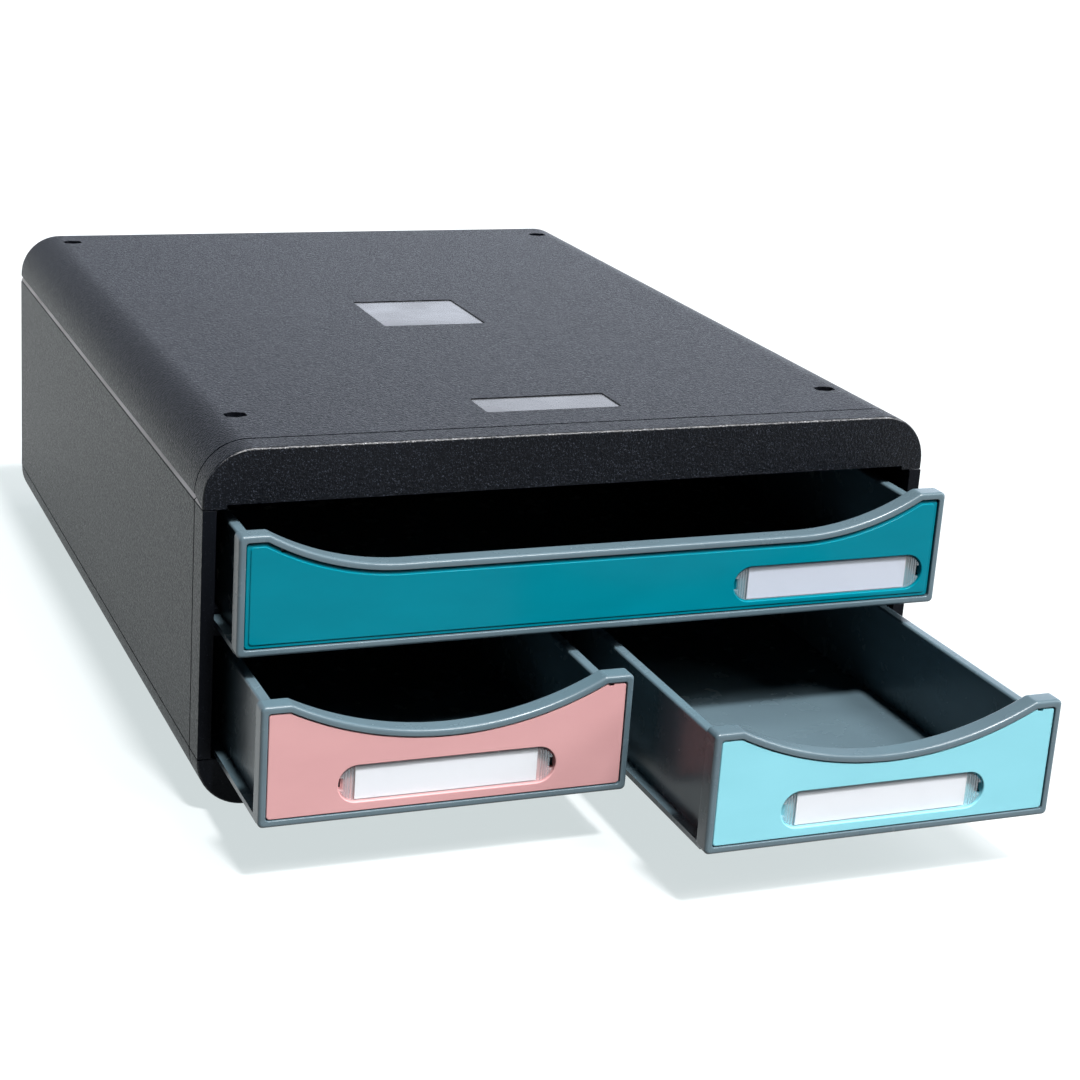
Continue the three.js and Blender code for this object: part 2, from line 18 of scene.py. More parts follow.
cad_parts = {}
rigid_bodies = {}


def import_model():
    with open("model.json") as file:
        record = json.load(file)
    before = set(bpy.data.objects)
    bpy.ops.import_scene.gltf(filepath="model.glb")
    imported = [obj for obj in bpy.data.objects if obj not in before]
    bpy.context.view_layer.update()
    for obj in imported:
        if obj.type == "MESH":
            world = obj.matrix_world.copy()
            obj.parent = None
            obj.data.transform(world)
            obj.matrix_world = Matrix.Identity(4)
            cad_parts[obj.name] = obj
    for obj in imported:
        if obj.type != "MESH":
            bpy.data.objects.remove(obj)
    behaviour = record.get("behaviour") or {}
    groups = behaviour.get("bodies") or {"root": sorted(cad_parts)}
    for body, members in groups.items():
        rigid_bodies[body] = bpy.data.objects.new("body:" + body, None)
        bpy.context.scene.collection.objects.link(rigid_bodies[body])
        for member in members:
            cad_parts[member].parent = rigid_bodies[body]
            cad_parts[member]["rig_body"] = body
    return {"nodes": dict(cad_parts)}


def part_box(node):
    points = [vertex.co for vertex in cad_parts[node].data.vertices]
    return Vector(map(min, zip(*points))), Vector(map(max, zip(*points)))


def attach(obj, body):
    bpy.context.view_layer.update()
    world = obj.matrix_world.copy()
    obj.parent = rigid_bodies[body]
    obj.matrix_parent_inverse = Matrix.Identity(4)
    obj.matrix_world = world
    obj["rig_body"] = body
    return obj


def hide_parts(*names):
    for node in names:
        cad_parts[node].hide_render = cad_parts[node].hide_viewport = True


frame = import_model()
bpy.context.view_layer.update()
scene = bpy.context.scene
mm = 0.001

# %% [markdown]
# ## The camera
# The photograph looks down on the box from the front left. Its lens, place and tilt were
# worked out from the box's corners and keyholes, so the render can be laid over the photograph.
# The picture is a crop that isn't centred on the lens, and the camera's shift stands for that.

# %% Camera
image_side = 1080
focal_pixels = 2261.1
lens_centre = (458.5, 496.3)
sensor_width = 36.0
eye = Vector((-0.3103, -0.7988, 0.3428))
turn_right = math.radians(21.19)
tip_down = math.radians(17.71)
lean = math.radians(3.36)

camera_data = bpy.data.cameras.new("view_camera")
camera_data.sensor_width = sensor_width
camera_data.lens = focal_pixels / image_side * sensor_width
camera_data.shift_x = 0.5 - lens_centre[0] / image_side
camera_data.shift_y = lens_centre[1] / image_side - 0.5
camera = bpy.data.objects.new("view_camera", camera_data)
camera.matrix_world = (
    Matrix.Translation(eye)
    @ Matrix.Rotation(-turn_right, 4, "Z")
    @ Matrix.Rotation(math.pi / 2 - tip_down, 4, "X")
    @ Matrix.Rotation(lean, 4, "Z")
)
scene.collection.objects.link(camera)
scene.camera = camera
print("lens in mm:", round(camera_data.lens, 2))

# %% [markdown]
# ## Light, air and floor
# A box like this is shot on a white table, with a low white screen round the back and the
# rest of the room dark. Dark plastic shows little colour of its own, so what it mirrors makes
# its tone: the screen lights up the top at its flat viewing angle, the table lights up the long
# side, and the dark room leaves the fascia and the insides of the drawers nearly black. The
# screen could be a lit wall of panels, but two ramps on the sky's direction do it: one for the
# height above the table, and one for the heading, which is brightest to the back right.

# %% White screen in a dark room
screen_heading = Vector((math.sin(math.radians(38)), math.cos(math.radians(38)), 0))
screen_tint = (0.93, 1.0, 1.15)
screen_strength = 2.2
screen_heights = ((-0.12, 0.0), (-0.08, 1.0), (0.26, 1.0), (0.44, 0.02), (1.0, 0.015))
screen_sides = ((-0.75, 0.02), (-0.1, 0.05), (0.25, 0.26), (0.8, 0.5), (0.97, 1.0))

scene.view_settings.view_transform = "Standard"
room = bpy.data.worlds.new("studio")
scene.world = room
room.use_nodes = True
sky = room.node_tree
heading = sky.nodes.new("ShaderNodeTexCoord").outputs["Generated"]


def sky_ramp(value, stops):
    """A ramp from a value between -1 and 1 to a share of light, eased between its stops."""
    unit = sky.nodes.new("ShaderNodeMapRange")
    unit.inputs["From Min"].default_value = -1
    sky.links.new(value, unit.inputs["Value"])
    ramp = sky.nodes.new("ShaderNodeValToRGB")
    ramp.color_ramp.interpolation = "EASE"
    marks = ramp.color_ramp.elements
    while len(marks) < len(stops):
        marks.new(1.0)
    for mark, (place, share) in zip(marks, stops):
        mark.position = (place + 1) / 2
        mark.color = (share, share, share, 1)
    sky.links.new(unit.outputs["Result"], ramp.inputs["Fac"])
    return ramp.outputs["Color"]


def sky_product(first, second):
    """Two colours of the sky, multiplied."""
    node = sky.nodes.new("ShaderNodeVectorMath")
    node.operation = "MULTIPLY"
    for source, socket in zip((first, second), node.inputs):
        if isinstance(source, tuple):
            socket.default_value = source
        else:
            sky.links.new(source, socket)
    return node.outputs["Vector"]


parts = sky.nodes.new("ShaderNodeSeparateXYZ")
sky.links.new(heading, parts.inputs["Vector"])
facing = sky.nodes.new("ShaderNodeVectorMath")
facing.operation = "DOT_PRODUCT"
facing.inputs[1].default_value = screen_heading
sky.links.new(heading, facing.inputs[0])
by_height = sky_ramp(parts.outputs["Z"], screen_heights)
by_side = sky_ramp(facing.outputs["Value"], screen_sides)
backdrop = sky.nodes["Background"]
backdrop.inputs["Strength"].default_value = screen_strength
sky.links.new(sky_product(sky_product(by_height, by_side), screen_tint), backdrop.inputs["Color"])
print("screen heading:", [round(part, 2) for part in screen_heading])

# %% [markdown]
# Where the shadow of the wide drawer ends on the floor of the drawer below tells the height of
# the main lamp: it stands nearly straight in front, about 62 degrees up. It can't stand to the
# left, since the runner flanges on the left of the trays lie in their walls' shadow. A softer
# lamp nearly overhead brightens what faces up. Two fainter ones draw the white line along the
# crest of every front: one high to the right of the front for the level parts, and one lower
# and further round for the slopes that lead down into the scoops. Distant area lamps would do
# as well, but sun lamps light a large table evenly.

# %% Lamps
def sun_lamp(name, to_right, height_angle, softness, strength):
    """A lamp to the right of the front and above the table, in degrees, with its apparent size."""
    data = bpy.data.lights.new(name, "SUN")
    data.energy = strength
    data.angle = math.radians(softness)
    lamp = bpy.data.objects.new(name, data)
    swing = Matrix.Rotation(math.radians(to_right), 4, "Z")
    tilt = Matrix.Rotation(math.radians(90 - height_angle), 4, "X")
    lamp.matrix_world = swing @ tilt
    scene.collection.objects.link(lamp)
    return lamp


lamps = [
    sun_lamp("main_lamp", 8, 62, 6, 4.8),
    sun_lamp("overhead_lamp", 70, 80, 20, 1.1),
    sun_lamp("crest_lamp", 36, 54, 18, 2.4),
    sun_lamp("slope_lamp", 70, 31, 24, 2.0),
]
print("lamps:", [lamp.name for lamp in lamps])

# %% [markdown]
# The table is one large plain sheet. It's seen in every gloss, but it sends no soft light of
# its own up into the drawers, since in the photograph they stay deep and dark.

# %% Floor
floor_side = 14.0
bm = bmesh.new()
bmesh.ops.create_grid(bm, x_segments=1, y_segments=1, size=floor_side / 2)
floor_mesh = bpy.data.meshes.new("floor")
bm.to_mesh(floor_mesh)
bm.free()
floor = bpy.data.objects.new("floor", floor_mesh)
scene.collection.objects.link(floor)
floor.visible_diffuse = False
print("floor side in m:", floor_side)

# %% [markdown]
# ## Building finishes
# Every finish is one Principled shader fed by patterns in object space, so a pattern stays
# fixed to its piece. A few small helpers keep the recipes short: a noise with its grain size in
# metres, a two-colour blend, a change of range and a bump.


# %% Finish helpers
class Finish:
    """A material under construction, with its node tree, shader and object coordinates."""

    def __init__(self, name, roughness, gloss=0.5):
        self.material = bpy.data.materials.new(name)
        self.material.use_nodes = True
        self.nodes = self.material.node_tree.nodes
        self.links = self.material.node_tree.links
        self.shader = self.nodes["Principled BSDF"]
        self.shader.inputs["Roughness"].default_value = roughness
        self.shader.inputs["Specular IOR Level"].default_value = gloss
        self.place = self.nodes.new("ShaderNodeTexCoord").outputs["Object"]
        self.height = None

    def stretched(self, scale):
        """The object coordinates, scaled apart along each axis."""
        mapping = self.nodes.new("ShaderNodeMapping")
        mapping.inputs["Scale"].default_value = scale
        self.links.new(self.place, mapping.inputs["Vector"])
        return mapping.outputs["Vector"]

    def noise(self, size, detail=2.0, place=None):
        """Soft random patches of about one size."""
        node = self.nodes.new("ShaderNodeTexNoise")
        node.inputs["Scale"].default_value = 1 / size
        node.inputs["Detail"].default_value = detail
        self.links.new(place or self.place, node.inputs["Vector"])
        return node.outputs["Fac"]

    def spread(self, value, from_low, from_high, low, high):
        """Maps one range of a pattern to another and holds it there."""
        node = self.nodes.new("ShaderNodeMapRange")
        ends = {"From Min": from_low, "From Max": from_high, "To Min": low, "To Max": high}
        for socket, end in ends.items():
            node.inputs[socket].default_value = end
        self.links.new(value, node.inputs["Value"])
        return node.outputs["Result"]

    def blend(self, factor, first, second):
        """A colour between two, chosen by a pattern."""
        node = self.nodes.new("ShaderNodeMix")
        node.data_type = "RGBA"
        self.links.new(factor, node.inputs["Factor"])
        for socket, colour in (("A", first), ("B", second)):
            ends = [s for s in node.inputs if s.name == socket and s.type == "RGBA"]
            if isinstance(colour, tuple):
                ends[0].default_value = (*colour, 1)
            else:
                self.links.new(colour, ends[0])
        return [s for s in node.outputs if s.type == "RGBA"][0]

    def colour(self, source):
        self.links.new(source, self.shader.inputs["Base Color"])

    def roughness(self, source):
        self.links.new(source, self.shader.inputs["Roughness"])

    def metallic(self, source):
        self.links.new(source, self.shader.inputs["Metallic"])

    def bump(self, pattern, depth):
        """Adds a pattern to the surface's relief, with its depth in metres."""
        node = self.nodes.new("ShaderNodeBump")
        node.inputs["Distance"].default_value = depth
        self.links.new(pattern, node.inputs["Height"])
        if self.height:
            self.links.new(self.height, node.inputs["Normal"])
        self.height = node.outputs["Normal"]
        self.links.new(self.height, self.shader.inputs["Normal"])


# %% [markdown]
# ## Grained charcoal plastic
# The housing is moulded in a spark-eroded mould: a fine, hard grain that breaks the light into
# specks. It could be a picture, but one fine noise gives the grain's relief, and the peaks of a
# finer one become pale specks of no regular shape. These specks are painted glints laid into the
# colour, and they are partly metallic, so they also catch a mirrored table as well as a lamp.
# Large soft patches keep the big faces from looking drawn. The two bare fields are smoother. The
# front edge's round and the strip along each lower side edge get painted highlights, and the
# keyholes, the groove and the front ends get painted shade.

# %% Housing finishes
charcoal = (0.0012, 0.0018, 0.0034)
charcoal_lit = (0.0018, 0.0026, 0.0046)
painted_glint_tone = (0.1, 0.115, 0.15)
speck_reach = 0.24
speck_glint = 0.3
grain_size = 0.8 * mm
speck_size = 0.36 * mm
cloud_size = 60 * mm


def grained_plastic(name, speck_edge, relief, roughness_low, roughness_high, gloss):
    """Dark grained plastic. Only what stands above the speck edge in the finest noise becomes a
    pale, painted glint.
    """
    finish = Finish(name, roughness_high, gloss)
    cloud = finish.spread(finish.noise(cloud_size, 3), 0.35, 0.65, 0, 1)
    base = finish.blend(cloud, charcoal, charcoal_lit)
    peaks = finish.noise(speck_size, 2)
    specks = finish.spread(peaks, speck_edge, speck_edge + speck_reach, 0, 1)
    # The pale specks are painted glints, laid into the colour and partly metallic.
    finish.colour(finish.blend(specks, base, painted_glint_tone))
    finish.metallic(finish.spread(specks, 0, 1, 0, speck_glint))
    grain = finish.noise(grain_size, 3)
    finish.roughness(finish.spread(grain, 0.3, 0.7, roughness_low, roughness_high))
    finish.bump(grain, relief)
    return finish.material


def smooth_charcoal(name, dark, pale, roughness, painted_sheen):
    """Smooth plastic. A painted sheen, given as a metallic share, makes it mirror like metal."""
    finish = Finish(name, roughness)
    finish.shader.inputs["Metallic"].default_value = painted_sheen
    finish.shader.inputs["Specular Tint"].default_value = (0.95, 0.89, 0.8, 1)
    haze = finish.noise(25 * mm, 3)
    finish.colour(finish.blend(haze, dark, pale))
    finish.roughness(finish.spread(haze, 0.3, 0.7, roughness, roughness * 1.5))
    finish.bump(finish.noise(3 * mm, 2), 0.01 * mm)
    finish.bump(finish.noise(0.6 * mm, 1), 0.006 * mm)
    return finish.material


housing_finish = grained_plastic("grained_charcoal", 0.6, 0.5 * mm, 0.3, 0.5, 0.13)
# A lit copy of the grain: more pale glints and more gloss paint a highlight line on the front
# edge.
edge_highlight_finish = grained_plastic("grain_painted_highlight", 0.56, 0.4 * mm, 0.28, 0.42, 0.7)
# A darker copy of the grain, with fewer pale glints and less gloss: painted shade.
painted_shade_finish = grained_plastic("charcoal_painted_shade", 0.68, 0.1 * mm, 0.5, 0.7, 0.08)
field_finish = smooth_charcoal(
    "polished_charcoal", (0.042, 0.044, 0.048), (0.055, 0.057, 0.062), 0.2, 0.0)
# Painted highlight: the sloping strip is painted pale and partly metallic.
strip_highlight_finish = smooth_charcoal(
    "edge_painted_highlight", (0.56, 0.54, 0.52), (0.66, 0.63, 0.6), 0.3, 0.65)
housing_finishes = (housing_finish, edge_highlight_finish, painted_shade_finish, field_finish, strip_highlight_finish)
print("finishes made:", [finish.name for finish in housing_finishes])

# %% [markdown]
# ## Satin trays and glossy inserts
# The trays are blue-grey with a satin skin from a plain mould, and the inserts are glossier.
# Both get faint flow marks, long and soft, a trace of orange peel and a few handling smudges
# in their roughness, which only show where a highlight runs across them.


# %% Drawer finishes
def moulded_plastic(name, colour, tinted, roughness, gloss, peel):
    """Plain moulded plastic: a main colour that drifts to a tinted one, and its gloss."""
    finish = Finish(name, roughness, gloss)
    flow = finish.noise(30 * mm, 3, finish.stretched((1, 1, 2.5)))
    finish.colour(finish.blend(finish.spread(flow, 0.3, 0.7, 0, 1), colour, tinted))
    smudge = finish.noise(9 * mm, 4)
    finish.roughness(finish.spread(smudge, 0.35, 0.75, roughness, roughness * 1.15))
    finish.bump(finish.noise(2.2 * mm, 2), peel)
    finish.bump(finish.noise(0.5 * mm, 1), peel * 0.3)
    return finish.material


tray_peel = 0.006 * mm
insert_peel = 0.008 * mm
tray_finish = moulded_plastic(
    "satin_blue_grey", (0.078, 0.117, 0.14), (0.088, 0.132, 0.156), 0.25, 0.35, tray_peel)
teal_finish = moulded_plastic(
    "gloss_teal", (0.0, 0.162, 0.218), (0.0, 0.177, 0.237), 0.2, 0.07, insert_peel)
pink_finish = moulded_plastic(
    "gloss_pink", (0.54, 0.29, 0.295), (0.565, 0.306, 0.31), 0.22, 0.15, insert_peel)
aqua_finish = moulded_plastic(
    "gloss_aqua", (0.225, 0.55, 0.63), (0.238, 0.575, 0.66), 0.22, 0.15, insert_peel)
print("drawer finishes:", tray_finish.name, teal_finish.name, pink_finish.name, aqua_finish.name)


# %% [markdown]
# ## Paper, clear window, rubber and floor
# The card is smooth paper with the faintest fibre, and the wide drawer's is painted darker and
# bluer, a painted shade. The window is clear plastic: most of the light goes straight through,
# so its alpha is low, and only its gloss shows. The floors of the cuts between the ribs at its
# ends are painted darker and less clear, a painted shade that draws the ribs. The feet are a
# soft black rubber. The floor is a plain pale sheet that is lit from below as well, as on a
# light table, so that the shadows on it stay pale.

# %% Small finishes
def fibre_paper(name, dark, pale):
    """Smooth card with a faint fibre that runs across it."""
    finish = Finish(name, 0.6)
    fibre = finish.noise(0.8 * mm, 4, finish.stretched((0.35, 1, 1)))
    finish.colour(finish.blend(fibre, dark, pale))
    finish.bump(fibre, 0.01 * mm)
    return finish.material


def clear_plastic(name, alpha, tone):
    """Polished see-through plastic. The lower its alpha, the clearer it is."""
    finish = Finish(name, 0.06)
    finish.shader.inputs["Alpha"].default_value = alpha
    finish.shader.inputs["Base Color"].default_value = (*tone, 1)
    haze = finish.noise(6 * mm, 2)
    finish.roughness(finish.spread(haze, 0.3, 0.7, 0.04, 0.12))
    finish.bump(finish.noise(4 * mm, 1), 0.01 * mm)
    return finish.material


def foot_rubber(name):
    """Matt black rubber with a little dust."""
    finish = Finish(name, 0.75)
    dust = finish.noise(2 * mm, 4)
    finish.colour(finish.blend(dust, (0.012, 0.012, 0.013), (0.03, 0.03, 0.031)))
    finish.roughness(finish.spread(dust, 0.3, 0.7, 0.65, 0.85))
    finish.bump(finish.noise(0.4 * mm, 2), 0.04 * mm)
    return finish.material


def pale_board(name):
    """The table's sheet, with a weak even light of its own."""
    finish = Finish(name, 0.7)
    drift = finish.noise(1.5, 2)
    finish.colour(finish.blend(drift, (0.22, 0.22, 0.222), (0.24, 0.24, 0.242)))
    finish.roughness(finish.spread(drift, 0.3, 0.7, 0.65, 0.75))
    finish.shader.inputs["Emission Color"].default_value = (0.9, 0.99, 1.0, 1)
    finish.shader.inputs["Emission Strength"].default_value = 0.68
    return finish.material


card_finish = fibre_paper("card_paper", (0.665, 0.685, 0.73), (0.71, 0.72, 0.755))
# Painted shade: the wide drawer's card is painted darker and bluer.
wide_card_shade_finish = fibre_paper("wide_card_painted_shade", (0.41, 0.44, 0.53), (0.45, 0.48, 0.57))
lens_finish = clear_plastic("clear_window", 0.12, (0.8, 0.84, 0.86))
# Painted shade: the floors of the rib cuts are darker and less clear, to draw the ribs.
rib_shade_finish = clear_plastic("window_ribs_painted_shade", 0.4, (0.3, 0.35, 0.38))
rubber_finish = foot_rubber("foot_rubber")
floor_mesh.materials.append(pale_board("pale_board"))

# %% [markdown]
# ## Drawing outlines
# A moulding is mostly one outline carried along. An outline starts from one vertex, the pen.
# Drawing the pen out leaves a straight edge, and spinning it about a centre leaves an arc, so a
# radius stays a radius at any number of steps. Rings drawn alike at several depths are bridged
# into walls and rounds, and a closed ring is filled to end the piece. Each wall draws its own
# two rings, so the bridge can't mistake older faces for its neighbours, and the doubles are
# merged when the piece is finished.


# %% Pen, rings and lofts
turn_steps = 40


def outline(bm, start, strokes, depth):
    """Draws a closed ring at one depth. A stroke is a point (x, z), or an arc as its centre
    x and z, its turn (clockwise seen from the front) and its steps."""
    known = set(bm.edges)
    first = bmesh.ops.create_vert(bm, co=(start[0], depth, start[1]))["vert"][0]
    pen = first
    for stroke in strokes:
        if len(stroke) == 2:
            pen = bmesh.ops.extrude_vert_indiv(bm, verts=[pen])["verts"][0]
            pen.co = (stroke[0], depth, stroke[1])
        else:
            x, z, turn, steps = stroke
            swept = bmesh.ops.spin(bm, geom=[pen], cent=(x, depth, z), axis=(0, 1, 0),
                                   angle=turn, steps=steps, use_duplicate=False)
            pen = swept["geom_last"][0]
    bmesh.ops.weld_verts(bm, targetmap={pen: first})
    return [edge for edge in bm.edges if edge not in known]


def loft(bm, draw, stations):
    """Draws a ring at each station and the next one, and joins each pair with a wall."""
    for station, following in zip(stations, stations[1:]):
        bmesh.ops.bridge_loops(bm, edges=draw(*station) + draw(*following))


def cap(bm, ring):
    """Closes a ring with one flat face."""
    return bmesh.ops.contextual_create(bm, geom=ring)["faces"]


def closed_loft(bm, draw, stations):
    """A loft with a flat face over its first and its last ring."""
    loft(bm, draw, stations)
    cap(bm, draw(*stations[0]))
    cap(bm, draw(*stations[-1]))


def plate_with_hole(bm, ring, hole):
    """Fills the flat space between an outer ring and a hole's ring."""
    bmesh.ops.triangle_fill(bm, edges=ring + hole, use_beauty=True, use_dissolve=False)


def round_steps(radius, steps):
    """Pairs (inwards, along) that lead round an outside edge, from the end face to the side."""
    angles = [index / steps * math.pi / 2 for index in range(steps + 1)]
    return [(radius * (1 - math.sin(a)), radius * (1 - math.cos(a))) for a in angles]


def turned(bm, profile):
    """Spins a profile once round the upright axis into a closed solid."""
    pen = bmesh.ops.create_vert(bm, co=(profile[0][0], 0, profile[0][1]))["vert"][0]
    for radius, height in profile[1:]:
        pen = bmesh.ops.extrude_vert_indiv(bm, verts=[pen])["verts"][0]
        pen.co = (radius, 0, height)
    bmesh.ops.spin(bm, geom=bm.verts[:] + bm.edges[:], cent=(0, 0, 0), axis=(0, 0, 1),
                   angle=2 * math.pi, steps=turn_steps, use_merge=True, use_duplicate=False)


def prism(bm, start, strokes, front, back):
    """An outline filled and drawn out to a solid bar."""
    face = cap(bm, outline(bm, start, strokes, front))
    grown = bmesh.ops.extrude_face_region(bm, geom=face)["geom"]
    far = [part for part in grown if isinstance(part, bmesh.types.BMVert)]
    bmesh.ops.translate(bm, verts=far, vec=(0, back - front, 0))


def box(bm, low, high):
    """A block between two corners, made from a unit cube."""
    low, high = Vector(low), Vector(high)
    size = Matrix.Diagonal((*(high - low), 1))
    bmesh.ops.create_cube(bm, size=1, matrix=Matrix.Translation((low + high) / 2) @ size)


print("pen test, arc of a quarter turn:", round_steps(1.0, 2)[1])

# %% [markdown]
# ## Cutting, joining and finishing
# Holes, pockets and grooves are cut the way a mould leaves them: a block of their shape is
# taken out of the body. Walls, rims and lugs that belong to one moulding are joined into one
# closed skin. The last helper turns a finished bmesh into a piece: doubles merged, faces
# pointing out, soft shading between sharp edges, and a seat on the body that carries it.

# %% Joining and making pieces
weld_distance = 0.002 * mm


def loose_object(bm, name):
    """Turns a bmesh into a plain object, with its doubles merged and its faces outwards."""
    bmesh.ops.remove_doubles(bm, verts=bm.verts, dist=weld_distance)
    bmesh.ops.recalc_face_normals(bm, faces=bm.faces)
    mesh = bpy.data.meshes.new(name)
    bm.to_mesh(mesh)
    bm.free()
    thing = bpy.data.objects.new(name, mesh)
    scene.collection.objects.link(thing)
    return thing


def combine(body, operation, tools):
    """Joins closed shapes to a body (UNION) or takes them out of it (DIFFERENCE)."""
    target = loose_object(body, "body")
    parts = [loose_object(tool, "tool") for tool in tools]
    for part in parts:
        step = target.modifiers.new(operation, "BOOLEAN")
        step.operation = operation
        step.solver = "EXACT"
        step.use_self = True
        step.object = part
    bpy.context.view_layer.update()
    solved = target.evaluated_get(bpy.context.evaluated_depsgraph_get())
    whole = bpy.data.meshes.new_from_object(solved)
    result = bmesh.new()
    result.from_mesh(whole)
    bpy.data.meshes.remove(whole)
    for thing in [target, *parts]:
        mesh = thing.data
        bpy.data.objects.remove(thing)
        bpy.data.meshes.remove(mesh)
    return result


def make_piece(bm, name, body, finish, stands_for=(), soft_angle=32):
    """Finishes a bmesh as a piece that rides on a body and may stand for CAD nodes."""
    bmesh.ops.remove_doubles(bm, verts=bm.verts, dist=weld_distance)
    open_edges = sum(len(edge.link_faces) != 2 for edge in bm.edges)
    piece = loose_object(bm, name)
    piece.data.shade_smooth()
    piece.data.set_sharp_from_angle(angle=math.radians(soft_angle))
    piece.data.materials.append(finish)
    even = piece.modifiers.new("even_shading", "WEIGHTED_NORMAL")
    even.keep_sharp = True
    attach(piece, body)
    if stands_for:
        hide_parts(*stands_for)
    print(f"{name}: {len(piece.data.polygons)} faces, open edges: {open_edges}")
    return piece


def place_in(bm, origin):
    """Moves a bmesh from its own drawing place to its place in the frame."""
    bmesh.ops.translate(bm, verts=bm.verts, vec=origin)


def second_finish(piece, finish, chosen):
    """Gives the faces that a test picks a finish of their own."""
    piece.data.materials.append(finish)
    faces = [face for face in piece.data.polygons if chosen(face)]
    for face in faces:
        face.material_index = len(piece.data.materials) - 1
    print(f"{piece.name}: {len(faces)} faces in {finish.name}")


# %% [markdown]
# ## The cover and the base
# The cover is a shallow tray laid open side down, and the base is its counterpart turned over.
# Both are one upright outline, an arch with two round shoulders, carried from front to back:
# drawn in at both ends for the rounded edge, and dropped in for the groove behind the front
# edge. Inside they are hollow, with thin ribs. The same stations make both, so they match.

# %% Shell shapes
cover_low, cover_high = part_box("top_cover")
base_low, base_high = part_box("base_tray")
housing_front = cover_low.y
housing_depth = cover_high.y - cover_low.y
housing_half = (cover_high.x - cover_low.x) / 2
cover_height = cover_high.z - cover_low.z
rail_lift = 1.1 * mm
base_top = base_high.z - rail_lift
base_height = base_top - base_low.z
shoulder_radius = 17.4 * mm
edge_round = 0.9 * mm
shell_wall = 2.6 * mm
groove_front = 10.7 * mm
groove_width = 0.8 * mm
groove_depth = 0.7 * mm
overrun = 1 * mm
arc_steps = 14


def arch(bm, height, inset, depth, foot=0.0):
    """The upright outline of a cover, drawn in by an inset, with its feet at one height."""
    half = housing_half - inset
    top = height - inset
    radius = shoulder_radius - inset
    quarter = math.pi / 2
    strokes = [
        (-half, top - radius),
        (-half + radius, top - radius, quarter, arc_steps),
        (half - radius, top),
        (half - radius, top - radius, quarter, arc_steps),
        (half, foot),
        (-half, foot),
    ]
    return outline(bm, (-half, foot), strokes, depth)


def shell_body(height):
    """The solid outer form of a cover, with its rounded ends and its groove."""
    bm = bmesh.new()
    draw = partial(arch, bm, height)
    ends = round_steps(edge_round, 5)
    groove_back = groove_front + groove_width
    stations = [*ends, (0, groove_front), (groove_depth, groove_front)]
    stations += [(groove_depth, groove_back), (0, groove_back)]
    stations += [(inwards, housing_depth - along) for inwards, along in reversed(ends)]
    closed_loft(bm, draw, stations)
    return bm


def shell_hollow(height):
    """The space inside a cover, open below."""
    bm = bmesh.new()
    draw = partial(arch, bm, height, shell_wall, foot=-overrun)
    closed_loft(bm, draw, [(shell_wall,), (housing_depth - shell_wall,)])
    return bm


# %% [markdown]
# Four keyholes near the corners take the feet of a second box. Each is a round hole with a
# slot across it, drawn flat and then stood up to cut through the top.

# %% Keyholes, fields and ledge
keyhole_radius = 3.2 * mm
keyhole_sides = 32
keyhole_slot = (7.8 * mm, 4.6 * mm)
cup_depth = 3.6 * mm
cup_wall = 0.8 * mm
keyhole_x = housing_half - 20.8 * mm
keyhole_y = (39.6 * mm, housing_depth - 15.2 * mm)
keyholes = [(side * keyhole_x, y) for side in (-1, 1) for y in keyhole_y]
large_field = (housing_depth / 2 + 5.3 * mm, 43.4 * mm, 42.4 * mm)
small_field = (37.9 * mm, 52 * mm, 18.3 * mm)
field_depth = 0.6 * mm
field_corner = 1.2 * mm
ledge_depth = 1.7 * mm
ledge_land = 0.3 * mm
ledge_roof = 0.3 * mm
ledge_tip = 0.02 * mm
fascia_lift = 1.4 * mm
corner_lip = 8.2 * mm


def round_rectangle(bm, width, length, corner, low, high, middle):
    """An upright bar with a rectangular plan and round corners."""
    half, reach, quarter = width / 2, length / 2, math.pi / 2
    strokes = [
        (-half, reach - corner),
        (-half + corner, reach - corner, quarter, 5),
        (half - corner, reach),
        (half - corner, reach - corner, quarter, 5),
        (half, -reach + corner),
        (half - corner, -reach + corner, quarter, 5),
        (-half + corner, -reach),
        (-half + corner, -reach + corner, quarter, 5),
    ]
    prism(bm, (-half, -reach + corner), strokes, -high, -low)
    shift = Matrix.Translation((middle[0], middle[1], 0))
    stand_up = shift @ Matrix.Rotation(-math.pi / 2, 4, "X")
    bmesh.ops.transform(bm, matrix=stand_up, verts=bm.verts)


def keyhole_cutter(x, y, low, high):
    """A round pin with a flat bar across it."""
    bm = bmesh.new()
    round_rectangle(bm, keyhole_slot[0], keyhole_slot[1], keyhole_slot[1] / 4, low, high, (x, y))
    stand = Matrix.Translation((x, y, (low + high) / 2))
    bmesh.ops.create_cone(bm, cap_ends=True, segments=keyhole_sides, radius1=keyhole_radius,
                          radius2=keyhole_radius, depth=high - low, matrix=stand)
    return bm


def keyhole_cutters(height):
    low, high = height - shell_wall - overrun, height + overrun
    return [keyhole_cutter(x, y, low, high) for x, y in keyholes]


def keyhole_cup(x, y, low):
    """A blind cup below a keyhole, which keeps light and dust out of the drawer."""
    wall = bmesh.new()
    reach = keyhole_slot[0] / 2 + cup_wall
    inner = reach - cup_wall / 2
    profile = [(0, -cup_depth), (reach, -cup_depth), (reach, shell_wall / 2),
               (inner, shell_wall / 2), (inner, cup_wall - cup_depth), (0, cup_wall - cup_depth)]
    turned(wall, profile)
    bmesh.ops.translate(wall, verts=wall.verts, vec=(x, y, low))
    return wall


def field_cutter(field, low, high, shrink=0.0):
    """A flat block with a field's plan, between two heights."""
    y, width, length = field
    bm = bmesh.new()
    round_rectangle(bm, width - 2 * shrink, length - 2 * shrink, field_corner, low, high, (0, y))
    return bm


